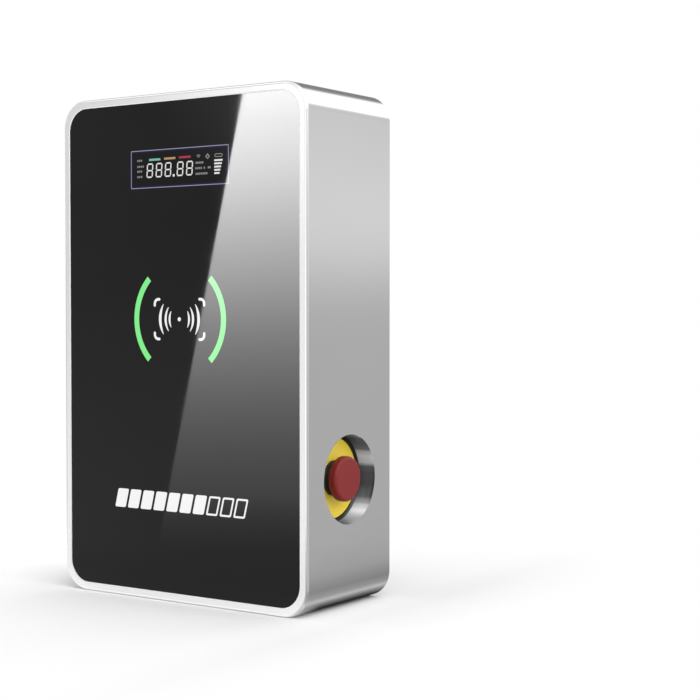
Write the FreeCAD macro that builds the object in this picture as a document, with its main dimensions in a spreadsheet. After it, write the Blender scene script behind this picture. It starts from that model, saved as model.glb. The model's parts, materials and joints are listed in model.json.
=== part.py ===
import FreeCAD, Part
import math
import os
import types

import Sketcher

# A wall-mounted charger for electric cars: a metal housing with a glass front, a stop button in its
# right side, cable glands in a notch underneath and a formed bracket that its back hangs on.
# X runs to the right, Y from the glass to the wall, Z up. The frame's origin is under the middle of
# the whole depth. Inside the functions, depths are measured back from the front plane.

HOUSING = {
    "box_width": 247, "box_height": 400, "box_depth": 112, "corner_radius": 22, "wall": 2,
    "front_edge_radius": 2.5, "rim_width": 6, "rim_depth": 8, "opening_radius": 19,
    "lip_width": 4, "flange_reach": 7, "flange_thickness": 2,
    "notch_height": 36.7, "foot_width": 38.2, "notch_lean": 21.3, "notch_front": 16,
    "notch_roof_radius": 9, "notch_foot_radius": 4,
}
FRONT = {
    "glass_recess": 0.5, "glass_thickness": 4, "glass_gap": 0.4, "glass_chamfer": 0.4,
    "seal_thickness": 1, "seal_setback": 1,
    "carrier_thickness": 2.5, "carrier_gap": 0.5, "carrier_rib_height": 3, "carrier_rib": 1.5,
    "carrier_stud_radius": 2, "carrier_stud_length": 6.5, "carrier_stud_inset": 60,
    "carrier_stud_setback": 0.6, "carrier_nut_flats": 7, "carrier_nut_height": 3.2,
    "stack_gap": 0.3, "window_gap": 0.25, "post_height": 2, "post_radius": 3,
    "circuit_thickness": 1.6, "board_hole_radius": 1.7, "board_screw_radius": 1, "board_screw_bite": 2.85,
    "board_screw_head": 2.3, "board_screw_head_height": 1.6, "board_screw_gap": 0.1,
    "display_width": 106, "display_height": 36, "display_rise": 341, "display_board_border": 7,
    "display_plug_across": 26, "display_plug_width": 21, "display_plug_height": 6, "display_plug_depth": 4.8,
    "arc_inner": 41.8, "arc_width": 5, "arc_half_angle": 46, "arc_foot": 1, "reader_rise": 222.6,
    "led_board_inner": 38, "led_board_outer": 53, "led_side": 3, "led_height": 0.7, "led_step": 18,
    "reader_width": 50, "reader_height": 42, "board_hole_inset": 4, "reader_chip": 10,
    "reader_chip_height": 0.8,
}
STOP = {
    "stop_rise": 100, "stop_opening_radius": 34.5, "stop_recess": 17, "cup_sheet": 1.2,
    "cup_flange_width": 5.5, "legend_gap": 3, "legend_thickness": 1.5, "legend_edge_radius": 0.5,
    "barrel_radius": 11, "barrel_hole_gap": 0.2, "bore_radius": 9, "bezel_radius": 14,
    "bezel_thickness": 1.5, "collar_radius": 12.5, "collar_height": 4, "stop_gasket_thickness": 1,
    "barrel_length": 22, "barrel_lip": 2, "stop_nut_flats": 28, "stop_nut_thickness": 4,
    "head_radius": 17.5, "head_thickness": 7, "head_setback": 1, "head_hollow_gap": 0.8,
    "head_hollow_depth": 4, "head_edge_radius": 2.6, "head_skirt_radius": 1,
    "hub_length": 2.5, "hub_gap": 0.4,
    "stop_travel": 4, "slide_gap": 0.06, "spigot_radius": 5, "spigot_length": 3.5, "spigot_end_gap": 0.5,
    "plunger_rod_radius": 4, "guide_lip": 2, "spring_wire": 0.9, "spring_turns": 5,
    "contact_width": 30, "contact_height": 38, "contact_depth": 26, "contact_well_gap": 0.5,
    "contact_well_depth": 13, "contact_screw_radius": 3, "contact_screw_depth": 2,
    "contact_screw_across": 7.5, "contact_screw_up": 12.5,
}
REAR = {
    "plate_thickness": 2, "plate_gap": 0.3, "gasket_thickness": 1.5, "gasket_gap": 0.6,
    "boss_side_gap": 2, "boss_top_gap": 5, "boss_bottom_gap": 3,
    "screw_radius": 1.5, "screw_head_radius": 2.8, "screw_head_height": 1.8, "screw_length": 13,
    "screw_socket_flats": 2, "screw_socket_depth": 1.2,
    "screw_gap": 0.05, "plate_hole_radius": 1.7, "boss_radius": 4, "boss_length": 18, "boss_web": 6,
    "stud_thread_radius": 4, "stud_thread_length": 8, "stud_hole_gap": 0.2, "stud_neck_radius": 5,
    "stud_neck_length": 5.5, "stud_head_radius": 9.75, "stud_head_thickness": 3,
    "stud_nut_flats": 13, "stud_nut_thickness": 6,
    "top_stud_rise": 336, "low_stud_rise": 124.5, "low_stud_half": 39,
}
BRACKET = {
    "wall_gap": 15, "sheet": 2, "spine_gap": 3, "spine_half": 23, "crossbar_half": 58.5,
    "wing_top": 374.5, "wing_height": 40.5, "wing_radius": 4,
    "tray_top": 162, "step_rise": 111.5, "strip_bottom": 74.5,
    "keyhole_radius": 10.5, "keyhole_drop": 18, "keyhole_slot_half": 5.5,
    "slot_half_spacing": 38, "wing_slot_rise": 349, "wing_slot_length": 12.7,
    "wing_slot_width": 7.5, "strip_slot_rise": 94, "strip_slot_length": 15, "strip_slot_width": 6.3,
    "bend_radius": 1.5,
}
GLANDS = {
    "large_across": -31.5, "large_thread": 16, "large_flats": 42, "large_hex_height": 7,
    "large_cap_radius": 21.5, "large_cap_height": 23, "large_cap_end": 5.8, "large_mouth": 9,
    "large_neck": 11.5, "large_insert": 16.1,
    "small_across": 27, "small_thread": 12.5, "small_flats": 33, "small_hex_height": 5,
    "small_cap_radius": 17, "small_cap_height": 12, "small_cap_end": 3, "small_mouth": 6.5,
    "small_neck": 6, "small_insert": 8.4,
    "gland_depth": 78, "gland_hole_gap": 0.2, "gland_stub": 13, "gland_washer": 1.5,
    "locknut_height": 6, "locknut_rim": 4, "neck_wall": 2.4, "insert_gap": 0.6, "cap_wall": 2.5,
    "cap_mouth_gap": 0.5, "cap_mouth_radius": 0.8, "body_bore_gap": 1.25,
}
ELECTRICS = {
    "chassis_thickness": 1.5, "chassis_half": 98, "chassis_bottom": 55, "chassis_top": 370,
    "chassis_post_length": 10.5, "chassis_post_flats": 8, "chassis_post_side": 88,
    "chassis_post_low": 68, "chassis_post_high": 357, "chassis_screw_radius": 2,
    "chassis_screw_length": 8, "chassis_screw_head": 3.6, "chassis_screw_head_height": 2.4,
    "rail_rise": 235, "rail_length": 170, "rail_width": 35, "rail_web": 27, "rail_height": 7.5,
    "rail_sheet": 1, "device_height": 85, "device_depth": 44, "device_nose_height": 45,
    "device_nose": 16, "device_gap": 0.5, "device_start": -80, "device_screw_radius": 3.6,
    "device_screw_depth": 4, "lever_width": 9, "lever_height": 11.2, "lever_depth": 3.2,
    "contactor_width": 54, "leakage_width": 36, "meter_width": 18,
    "terminal_width": 62, "terminal_height": 22, "terminal_depth": 30, "terminal_rise": 88,
    "terminal_pitch": 12, "terminal_screw_radius": 4, "terminal_screw_depth": 10, "terminal_wire_radius": 3,
    "terminal_wire_depth": 7.3, "ring_rise": 60, "ring_outer": 18, "ring_inner": 11, "ring_thickness": 12,
    "supply_width": 46, "supply_height": 68, "supply_depth": 28, "supply_across": -60,
    "supply_rise": 325, "supply_slot_pitch": 11.3, "supply_slot_length": 36.8, "supply_slot_width": 3.4,
    "supply_slot_depth": 2, "control_width": 116, "control_height": 76, "control_across": 24,
    "control_rise": 325, "control_post_length": 10, "relay_width": 14.5, "relay_height": 25.3,
    "relay_pitch": 17.4, "relay_drop": 15.2, "control_chip_across": 29, "can_radius": 4.8, "can_height": 17.4,
    "can_pitch": 14.5, "can_rise": 19, "earth_across": -84, "earth_rise": 92, "earth_radius": 3,
    "earth_length": 12, "earth_base_radius": 6, "earth_base_height": 2, "earth_nut_flats": 10,
    "earth_nut_height": 3, "earth_nut_lift": 6,
}

doc = FreeCAD.newDocument("EvWallbox")


class Size:
    # A number that remembers the sheet expression it comes from.
    def __init__(self, number, text):
        self.number = number
        self.text = text

    def join(self, sign, other, number):
        return Size(number, "({} {} {})".format(self.text, sign, other.text))

    def __add__(self, other):
        return self.join("+", as_size(other), self.number + as_size(other).number)

    def __sub__(self, other):
        return self.join("-", as_size(other), self.number - as_size(other).number)

    def __mul__(self, other):
        return self.join("*", as_size(other), self.number * as_size(other).number)

    def __truediv__(self, other):
        return self.join("/", as_size(other), self.number / as_size(other).number)

    def __radd__(self, other):
        return as_size(other) + self

    def __rsub__(self, other):
        return as_size(other) - self

    def __rmul__(self, other):
        return as_size(other) * self

    def __neg__(self):
        return as_size(0) - self

    def root(self):
        return Size(math.sqrt(self.number), "sqrt({})".format(self.text))


def as_size(value):
    return value if isinstance(value, Size) else Size(float(value), "({:.9g})".format(value))


def fill_sheet():
    sheet = doc.addObject("Spreadsheet::Sheet", "Sizes")
    sizes = types.SimpleNamespace()
    row = 0
    for group in (HOUSING, FRONT, STOP, REAR, BRACKET, GLANDS, ELECTRICS):
        for alias, number in group.items():
            row += 1
            sheet.set("A{}".format(row), alias)
            sheet.set("B{}".format(row), str(number))
            sheet.setAlias("B{}".format(row), alias)
            setattr(sizes, alias, Size(float(number), "Sizes." + alias))
    doc.recompute()
    return sizes


s = fill_sheet()
mid = as_size(0)  # on the box's middle plane, or on a piece's own axis
front_y = -(s.box_depth + s.wall_gap) / 2
lip_depth = s.glass_recess + s.glass_thickness + s.seal_thickness
plate_inner = s.box_depth - s.plate_thickness
flange_back = plate_inner - s.gasket_thickness
boss_edge = s.wall + s.flange_reach + s.boss_radius
screw_across = s.box_width / 2 - boss_edge - s.boss_side_gap
screw_bottom, screw_top = boss_edge + s.boss_bottom_gap, s.box_height - boss_edge - s.boss_top_gap
screw_rises = (screw_bottom, (screw_bottom + screw_top) / 2, screw_top)
screw_places = [(side * screw_across, rise) for side in (-1, 1) for rise in screw_rises]
stud_places = [(0, s.top_stud_rise), (s.low_stud_half, s.low_stud_rise), (-s.low_stud_half, s.low_stud_rise)]
board_front = s.rim_depth + s.carrier_thickness + s.post_height
board_back = board_front + s.circuit_thickness
stack_front = s.glass_recess + s.glass_thickness + s.stack_gap
stop_depth = s.box_depth / 2
chassis_back = plate_inner - s.chassis_post_length
chassis_front = chassis_back - s.chassis_thickness
rail_front = chassis_front - s.rail_height
roof_inside = s.notch_height + s.wall
notch_foot_half = s.box_width / 2 - s.foot_width
notch_roof_half = notch_foot_half - s.notch_lean


# Building blocks

BACKWARD = FreeCAD.Rotation(FreeCAD.Vector(1, 0, 0), -90)
SIDEWAYS = FreeCAD.Rotation(FreeCAD.Vector(0, 1, 0), 90)
UPWARD = FreeCAD.Rotation()
DOWNWARD = FreeCAD.Rotation(FreeCAD.Vector(1, 0, 0), 180)
PLANES = {"front": "XZ_Plane", "side": "YZ_Plane", "floor": "XY_Plane"}


def bind(thing, path, length):
    thing.setExpression(path, as_size(length).text)


def place(thing, across, depth, rise, turn=UPWARD):
    spot = FreeCAD.Vector(as_size(across).number, (front_y + depth).number, as_size(rise).number)
    thing.Placement = FreeCAD.Placement(spot, turn)
    bind(thing, "Placement.Base.x", across)
    bind(thing, "Placement.Base.y", front_y + depth)
    bind(thing, "Placement.Base.z", rise)


def new_body(label, across=0, depth=0, rise=0, turn=UPWARD):
    body = doc.addObject("PartDesign::Body", label)
    body.Label = label
    place(body, across, depth, rise, turn)
    return body


def new_sketch(body, plane, start):
    # start is the distance from the body's origin along the plane's world axis
    role = PLANES[plane]
    support = [item for item in body.Origin.OriginFeatures if item.Role == role][0]
    sketch = body.newObject("Sketcher::SketchObject", body.Name + "_sketch")
    sketch.AttachmentSupport = [(support, "")]
    sketch.MapMode = "FlatFace"
    lift = -as_size(start) if plane == "front" else as_size(start)
    sketch.AttachmentOffset = FreeCAD.Placement(FreeCAD.Vector(0, 0, lift.number), UPWARD)
    bind(sketch, "AttachmentOffset.Base.z", lift)
    return sketch


class Drawing:
    # gathers geometry and constraints, so that a sketch takes and solves them in one go
    def __init__(self):
        self.shapes = []
        self.marks = []
        self.constraints = []
        self.sizes = {}

    def line(self, start, end):
        self.shapes.append((Part.LineSegment(start, end), False))
        return len(self.shapes) - 1

    def circle(self, centre, radius):
        self.shapes.append((Part.Circle(centre, FreeCAD.Vector(0, 0, 1), radius), False))
        return len(self.shapes) - 1

    def arc(self, centre, start, end):
        # runs anticlockwise from start to end
        circle = Part.Circle(centre, FreeCAD.Vector(0, 0, 1), (start - centre).Length)
        first = math.atan2(start.y - centre.y, start.x - centre.x)
        last = math.atan2(end.y - centre.y, end.x - centre.x)
        if last < first:
            last += 2 * math.pi
        self.shapes.append((Part.ArcOfCircle(circle, first, last), False))
        return len(self.shapes) - 1

    def mark(self, spot):
        self.shapes.append((Part.Point(spot), True))
        return len(self.shapes) - 1

    def hold(self, kind, *where):
        self.constraints.append(Sketcher.Constraint(kind, *where))

    def hold_size(self, kind, where, length):
        length = as_size(length)
        self.sizes[len(self.constraints)] = length
        self.constraints.append(Sketcher.Constraint(kind, *where, length.number))

    def hold_point(self, shape, point, across, up):
        self.hold_size("DistanceX", (-1, 1, shape, point), across)
        self.hold_size("DistanceY", (-1, 1, shape, point), up)

    def finish(self, sketch):
        for shape, construction in self.shapes:
            sketch.addGeometry(shape, construction)
        sketch.addConstraint(self.constraints)
        for index, length in self.sizes.items():
            if "Sizes" in length.text:
                bind(sketch, "Constraints[{}]".format(index), length)


def spot_at(across, up):
    return FreeCAD.Vector(as_size(across).number, as_size(up).number, 0)


def draw_circle(drawing, across, up, radius):
    circle = drawing.circle(spot_at(across, up), as_size(radius).number)
    drawing.hold_point(circle, 3, across, up)
    drawing.hold_size("Radius", (circle,), radius)


def rounding(before, corner, after, radius):
    # the two tangent points and the centre of the arc that rounds a corner
    to_before = (before - corner).normalize()
    to_after = (after - corner).normalize()
    half = to_before.getAngle(to_after) / 2
    reach = radius / math.tan(half)
    centre = corner + (to_before + to_after).normalize() * (radius / math.sin(half))
    return corner + to_before * reach, corner + to_after * reach, centre


def turns_left(start, end, centre):
    return (start - centre).cross(end - centre).z > 0


def draw_outline(drawing, corners, radii=0):
    # a closed outline of straight runs; each corner is sharp, or rounded by its own radius
    count = len(corners)
    radii = list(radii) if isinstance(radii, (list, tuple)) else [radii] * count
    radii = [as_size(radius) for radius in radii]
    spots = [spot_at(*corner) for corner in corners]
    bends = []
    for index, spot in enumerate(spots):
        if radii[index].number > 0:
            after = spots[(index + 1) % count]
            bends.append(rounding(spots[index - 1], spot, after, radii[index].number))
        else:
            bends.append((spot, spot, None))
    first = len(drawing.shapes)
    for index in range(count):
        drawing.line(bends[index][1], bends[(index + 1) % count][0])
    for index, (start, end, centre) in enumerate(bends):
        before = first + (index - 1) % count
        after = first + index
        mark = drawing.mark(spots[index])
        if centre:
            left = turns_left(start, end, centre)
            arc = drawing.arc(centre, start, end) if left else drawing.arc(centre, end, start)
            near = 1 if left else 2
            drawing.hold("Tangent", before, 2, arc, near)
            drawing.hold("Tangent", after, 1, arc, 3 - near)
            drawing.hold_size("Radius", (arc,), radii[index])
            drawing.hold("PointOnObject", mark, 1, before)
            drawing.hold("PointOnObject", mark, 1, after)
        else:
            drawing.hold("Coincident", before, 2, after, 1)
            drawing.hold("Coincident", mark, 1, after, 1)
        drawing.hold_point(mark, 1, *corners[index])


def draw_box(drawing, across, up, width, height, radius=0):
    left, right = across - width / 2, across + width / 2
    low, high = up - height / 2, up + height / 2
    draw_outline(drawing, [(left, low), (right, low), (right, high), (left, high)], radius)


def draw_slot(drawing, start, end, half_width):
    # a slot from the lower or left end centre to the other one
    first, second = spot_at(*start), spot_at(*end)
    along = (second - first).normalize()
    side = FreeCAD.Vector(-along.y, along.x, 0) * as_size(half_width).number
    caps = [drawing.arc(first, first + side, first - side), drawing.arc(second, second - side, second + side)]
    near, far = drawing.line(first - side, second - side), drawing.line(second + side, first + side)
    for line, cap, following in ((near, caps[0], caps[1]), (far, caps[1], caps[0])):
        drawing.hold("Tangent", cap, 2, line, 1)
        drawing.hold("Tangent", line, 2, following, 1)
    drawing.hold("Equal", *caps)
    drawing.hold_size("Radius", (caps[0],), half_width)
    drawing.hold_point(caps[0], 3, *start)
    drawing.hold_point(caps[1], 3, *end)


def draw_hexagon(drawing, across, up, flats):
    reach = flats / math.sqrt(3)
    angles = [math.radians(60 * turn) for turn in range(6)]
    draw_outline(drawing, [(across + reach * math.cos(a), up + reach * math.sin(a)) for a in angles])


def add_slab(body, plane, start, end, *shapes):
    # material between two parallel planes; each shape is a drawing function with its arguments
    return extrude(body, "PartDesign::Pad", plane, start, end, shapes)


def cut_slab(body, plane, start, end, *shapes):
    before = body.Shape.Volume
    feature = extrude(body, "PartDesign::Pocket", plane, start, end, shapes)
    if body.Shape.Volume > before - 1e-3:
        raise ValueError("nothing was cut from " + body.Label)
    return feature


def extrude(body, kind, plane, start, end, shapes):
    sketch = new_sketch(body, plane, start)
    drawing = Drawing()
    for draw, *values in shapes:
        draw(drawing, *values)
    drawing.finish(sketch)
    feature = body.newObject(kind, body.Name + "_" + kind.split("::")[1].lower())
    feature.Profile = sketch
    feature.Length = (as_size(end) - start).number
    bind(feature, "Length", as_size(end) - start)
    feature.Reversed = (plane == "front") == (kind == "PartDesign::Pad")
    doc.recompute()
    return feature


def add_turned(body, profile, radii=0, angle=360, kind="PartDesign::Revolution"):
    # turns a (radius, height) outline about the body's own Z axis
    sketch = new_sketch(body, "front", 0)
    drawing = Drawing()
    draw_outline(drawing, profile, radii)
    drawing.finish(sketch)
    feature = body.newObject(kind, body.Name + "_turned")
    feature.Profile = sketch
    feature.ReferenceAxis = (sketch, ["V_Axis"])
    feature.Midplane = True
    feature.Angle = as_size(angle).number
    bind(feature, "Angle", angle)
    doc.recompute()
    return feature


def dress(body, kind, field, amount, wanted):
    # fillets or chamfers the edges whose middle meets the wanted test
    tip = body.Tip
    names = []
    for index, edge in enumerate(tip.Shape.Edges, 1):
        middle = edge.valueAt((edge.FirstParameter + edge.LastParameter) / 2)
        if wanted(edge, middle):
            names.append("Edge{}".format(index))
    if not names:
        raise ValueError("no edge to dress on " + body.Label)
    feature = body.newObject(kind, body.Name + "_dress")
    feature.Base = (tip, names)
    setattr(feature, field, as_size(amount).number)
    bind(feature, field, amount)
    doc.recompute()
    return feature


def round_edges(body, radius, wanted):
    return dress(body, "PartDesign::Fillet", "Radius", radius, wanted)


def bevel_edges(body, amount, wanted):
    return dress(body, "PartDesign::Chamfer", "Size", amount, wanted)


def repeat(label, body, places, turns=None):
    # the same piece at several places, as one group of separate solids
    links = []
    for index, (across, depth, rise) in enumerate(places):
        link = doc.addObject("App::Link", "{}_{}".format(label, index + 1))
        link.LinkedObject = body
        link.LinkTransform = False
        place(link, across, depth, rise, turns[index] if turns else body.Placement.Rotation)
        links.append(link)
    group = doc.addObject("Part::Compound", label)
    group.Label = label
    group.Links = links
    doc.recompute()
    return group


# Outlines that several pieces share

def draw_front(drawing, inset):
    width, height = s.box_width - 2 * inset, s.box_height - 2 * inset
    draw_box(drawing, mid, s.box_height / 2, width, height, s.corner_radius - inset)


def draw_opening(drawing, inset):
    edge = s.rim_width + inset
    width, height = s.box_width - 2 * edge, s.box_height - 2 * edge
    draw_box(drawing, mid, s.box_height / 2, width, height, s.opening_radius - inset)


def draw_rear(drawing, inset):
    # the back outline with the cable notch, moved inward by the inset
    inset = as_size(inset)
    slope = (s.notch_lean * s.notch_lean + s.notch_height * s.notch_height).root()
    shift = inset * (slope - s.notch_lean) / s.notch_height
    half = s.box_width / 2 - inset
    foot, roof = notch_foot_half + shift, notch_roof_half + shift
    top, ceiling = s.box_height - inset, s.notch_height + inset
    right = [(half, top), (half, inset), (foot, inset), (roof, ceiling)]
    left = [(-roof, ceiling), (-foot, inset), (-half, inset), (-half, top)]
    outer, ceiling_radius = s.corner_radius - inset, s.notch_roof_radius + inset
    foot_radius = s.notch_foot_radius - inset
    radii = [outer, outer, foot_radius, ceiling_radius]
    draw_outline(drawing, right + left, radii + radii[::-1])


def wall_middle(rise):
    # how far out the middle of the side wall is at this height, along the rounded corners too
    radius = s.corner_radius - s.wall / 2
    below, above = s.corner_radius - rise, rise - s.box_height + s.corner_radius
    past = below if below.number > above.number else above
    if past.number <= 0:
        return s.box_width / 2 - s.wall / 2
    return s.box_width / 2 - s.corner_radius + (radius * radius - past * past).root()


def draw_web(drawing, side, rise):
    # joins a screw boss to the side wall; its end follows the wall
    low, high = rise - s.boss_web / 2, rise + s.boss_web / 2
    boss, ends = side * screw_across, (side * wall_middle(low), side * wall_middle(high))
    draw_outline(drawing, [(boss, low), (ends[0], low), (ends[1], high), (boss, high)])


def circles(places, radius):
    return [(draw_circle, across, rise, radius) for across, rise in places]


# Housing

def make_shell():
    body = new_body("shell")
    add_slab(body, "front", 0, s.notch_front, (draw_front, 0))
    add_slab(body, "front", s.notch_front, s.box_depth, (draw_rear, 0))
    round_edges(body, s.front_edge_radius, lambda edge, middle: abs(middle.y) < 1e-6)
    cut_slab(body, "front", s.rim_depth, s.notch_front - s.wall, (draw_front, s.wall))
    cut_slab(body, "front", s.notch_front - s.wall, s.box_depth, (draw_rear, s.wall))
    cut_slab(body, "front", 0, lip_depth, (draw_opening, 0))
    cut_slab(body, "front", lip_depth, s.rim_depth, (draw_opening, s.lip_width))
    ring = (draw_rear, s.wall / 2), (draw_rear, s.wall + s.flange_reach)
    add_slab(body, "front", flange_back - s.flange_thickness, flange_back, *ring)
    webs = [(draw_web, side, rise) for side in (-1, 1) for rise in screw_rises]
    add_slab(body, "front", plate_inner - s.boss_length, flange_back - s.flange_thickness, *webs)
    add_slab(body, "front", plate_inner - s.boss_length, plate_inner, *circles(screw_places, s.boss_radius))
    bore = s.screw_radius + s.screw_gap
    bore_start = s.box_depth - s.screw_length - 1
    cut_slab(body, "front", bore_start, plate_inner, *circles(screw_places, bore))
    side_face = s.box_width / 2
    hole = (draw_circle, stop_depth, s.stop_rise, s.stop_opening_radius)
    cut_slab(body, "side", side_face - 1.5 * s.wall, side_face + s.wall, hole)
    gland_holes = []
    for across, thread in ((s.large_across, s.large_thread), (s.small_across, s.small_thread)):
        gland_holes.append((draw_circle, across, s.gland_depth, thread + s.gland_hole_gap))
    cut_slab(body, "floor", s.notch_height - s.wall, roof_inside + s.wall, *gland_holes)
    studs = circles(carrier_studs(), s.carrier_stud_radius)
    add_slab(body, "front", s.rim_depth, s.rim_depth + s.carrier_stud_length, *studs)
    return body


def carrier_studs():
    across = s.box_width / 2 - s.rim_width - s.carrier_stud_setback
    rises = (s.carrier_stud_inset, s.box_height - s.carrier_stud_inset)
    return [(side * across, rise) for side in (-1, 1) for rise in rises]


# Glass front and what lies behind it

def make_front_glass():
    body = new_body("front_glass")
    back = s.glass_recess + s.glass_thickness
    add_slab(body, "front", s.glass_recess, back, (draw_opening, s.glass_gap))
    front = s.glass_recess.number
    bevel_edges(body, s.glass_chamfer, lambda edge, middle: abs(middle.y - front) < 1e-6)
    return body


def make_glass_seal():
    body = new_body("glass_seal")
    start = s.glass_recess + s.glass_thickness
    add_slab(body, "front", start, lip_depth, (draw_opening, s.seal_setback), (draw_opening, s.lip_width))
    return body


def display_board_holes():
    across = s.display_width / 2 + s.display_board_border / 2
    up = s.display_height / 2
    rises = (s.display_rise - up, s.display_rise + up)
    return [(side * across, rise) for side in (-1, 1) for rise in rises]


def reader_board_holes():
    across = s.reader_width / 2 - s.board_hole_inset
    up = s.reader_height / 2 - s.board_hole_inset
    rises = (s.reader_rise - up, s.reader_rise + up)
    return [(side * across, rise) for side in (-1, 1) for rise in rises]


def led_board_holes():
    ring = (s.arc_inner + s.arc_width + s.led_board_outer) / 2 - 1
    places = []
    for angle in (60, 120, 240, 300):
        turn = math.radians(angle)
        places.append((ring * math.cos(turn), s.reader_rise + ring * math.sin(turn)))
    return places


def board_holes():
    return display_board_holes() + reader_board_holes() + led_board_holes()


def make_front_carrier():
    body = new_body("front_carrier")
    back = s.rim_depth + s.carrier_thickness
    edge = s.wall + s.carrier_gap
    add_slab(body, "front", s.rim_depth, back, (draw_front, edge))
    rib_end = back + s.carrier_rib_height
    rib_edge = s.rim_width + s.lip_width + 2 * s.carrier_rib
    rib = (draw_front, rib_edge), (draw_front, rib_edge + s.carrier_rib)
    add_slab(body, "front", back, rib_end, *rib)
    add_slab(body, "front", back, board_front, *circles(board_holes(), s.post_radius))
    across_gap = s.display_width + 2 * s.window_gap
    up_gap = s.display_height + 2 * s.window_gap
    window = (draw_box, mid, s.display_rise, across_gap, up_gap)
    cut_slab(body, "front", s.rim_depth, back, window)
    thread = s.board_screw_radius + s.board_screw_gap
    cut_slab(body, "front", s.rim_depth, board_front, *circles(board_holes(), thread))
    stud_way = s.carrier_stud_radius + s.window_gap
    cut_slab(body, "front", s.rim_depth, back, *circles(carrier_studs(), stud_way))
    cut_arc_slots(body)
    return body


def cut_arc_slots(body):
    # room for the two light guides, which stand in the plate
    inner = s.arc_inner - s.window_gap
    outer = s.arc_inner + s.arc_width + s.window_gap
    start, end = s.rim_depth, s.rim_depth + s.carrier_thickness
    slots = [(draw_arc_band, inner, outer, side) for side in (0, math.pi)]
    cut_slab(body, "front", start, end, *slots)


def draw_arc_band(drawing, inner, outer, side):
    # part of a ring about the reader's centre, to one side of it
    centre = spot_at(0, s.reader_rise)
    reach = math.radians(s.arc_half_angle.number + 1)
    ways = [FreeCAD.Vector(math.cos(side + turn), math.sin(side + turn), 0) for turn in (-reach, reach)]
    arcs = []
    for radius in (inner, outer):
        arc = drawing.arc(centre, centre + ways[0] * radius.number, centre + ways[1] * radius.number)
        drawing.hold_size("Radius", (arc,), radius)
        drawing.hold_point(arc, 3, 0, s.reader_rise)
        arcs.append(arc)
    for end, way in ((1, ways[0]), (2, ways[1])):
        line = drawing.line(centre + way * inner.number, centre + way * outer.number)
        drawing.hold("Coincident", line, 1, arcs[0], end)
        drawing.hold("Coincident", line, 2, arcs[1], end)
        drawing.hold("PointOnObject", arcs[0], 3, line)
        drawing.hold_size("Angle", (line,), math.atan2(way.y, way.x))


def make_display_module():
    body = new_body("display_module")
    window = (draw_box, mid, s.display_rise, s.display_width, s.display_height, as_size(1))
    add_slab(body, "front", stack_front, board_front, window)
    border = 2 * s.display_board_border
    board = (draw_box, mid, s.display_rise, s.display_width + border, s.display_height + border)
    add_slab(body, "front", board_front, board_back, board)
    cut_slab(body, "front", board_front, board_back, *circles(display_board_holes(), s.board_hole_radius))
    plug = (draw_box, s.display_plug_across, s.display_rise, s.display_plug_width, s.display_plug_height)
    add_slab(body, "front", board_back, board_back + s.display_plug_depth, plug)
    return body


def make_light_guides():
    body = new_body("light_guide", 0, stack_front, s.reader_rise, BACKWARD)
    outer = s.arc_inner + s.arc_width
    foot = s.rim_depth + s.carrier_thickness - stack_front
    end = foot + s.arc_foot
    profile = [(s.arc_inner, 0), (outer, 0), (outer, foot), (outer + s.arc_foot, foot),
               (outer + s.arc_foot, end), (s.arc_inner - s.arc_foot, end),
               (s.arc_inner - s.arc_foot, foot), (s.arc_inner, foot)]
    add_turned(body, profile, 0, 2 * s.arc_half_angle)
    half_turn = FreeCAD.Rotation(FreeCAD.Vector(0, 0, 1), 180)
    turns = [BACKWARD, BACKWARD.multiply(half_turn)]
    spot = (mid, stack_front, s.reader_rise)
    return repeat("light_guides", body, [spot, spot], turns)


def make_led_board():
    body = new_body("led_board")
    centre = [(mid, s.reader_rise)]
    rings = circles(centre, s.led_board_outer) + circles(centre, s.led_board_inner)
    add_slab(body, "front", board_front, board_back, *rings)
    cut_slab(body, "front", board_front, board_back, *circles(led_board_holes(), s.board_hole_radius))
    lamps = []
    middle = s.arc_inner + s.arc_width / 2
    for side in (0, 180):
        for step in range(-2, 3):
            turn = math.radians(side + step * s.led_step.number)
            across, rise = middle * math.cos(turn), s.reader_rise + middle * math.sin(turn)
            lamps.append((draw_box, across, rise, s.led_side, s.led_side))
    add_slab(body, "front", board_front - s.led_height, board_front, *lamps)
    return body


def make_reader_board():
    body = new_body("reader_board")
    board = (draw_box, mid, s.reader_rise, s.reader_width, s.reader_height, as_size(2))
    add_slab(body, "front", board_front, board_back, board)
    cut_slab(body, "front", board_front, board_back, *circles(reader_board_holes(), s.board_hole_radius))
    chip = (draw_box, mid, s.reader_rise, s.reader_chip, s.reader_chip)
    add_slab(body, "front", board_back, board_back + s.reader_chip_height, chip)
    return body


def make_front_board_screws():
    body = new_body("front_board_screw", 0, board_back, 0, BACKWARD)
    shank, head = s.board_screw_radius, s.board_screw_head
    end, top = -s.circuit_thickness - s.board_screw_bite, s.board_screw_head_height
    profile = [(0, end), (shank, end), (shank, 0), (head, 0), (head, top), (0, top)]
    add_turned(body, profile)
    return repeat("front_board_screws", body, [(a, board_back, r) for a, r in board_holes()])


def make_carrier_nuts():
    start = s.rim_depth + s.carrier_thickness
    body = new_body("carrier_nut", 0, start, 0, BACKWARD)
    bore = (draw_circle, mid, mid, s.carrier_stud_radius + s.screw_gap)
    flats = (draw_hexagon, mid, mid, s.carrier_nut_flats)
    add_slab(body, "floor", 0, s.carrier_nut_height, flats, bore)
    return repeat("carrier_nuts", body, [(a, start, r) for a, r in carrier_studs()])


# Stop button in the right side; heights are measured outward from the recess floor

stop_floor = s.box_width / 2 - s.stop_recess
gasket_top = s.legend_thickness + s.stop_gasket_thickness
bezel_top = gasket_top + s.bezel_thickness
collar_top = bezel_top + s.collar_height
head_top = s.stop_recess - s.head_setback
head_bottom = head_top - s.head_thickness
head_ceiling = head_bottom + s.head_hollow_depth
hub_bottom = head_ceiling - s.hub_length
spigot_top = hub_bottom + s.spigot_length
legend_radius = s.stop_opening_radius - s.legend_gap


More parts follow.
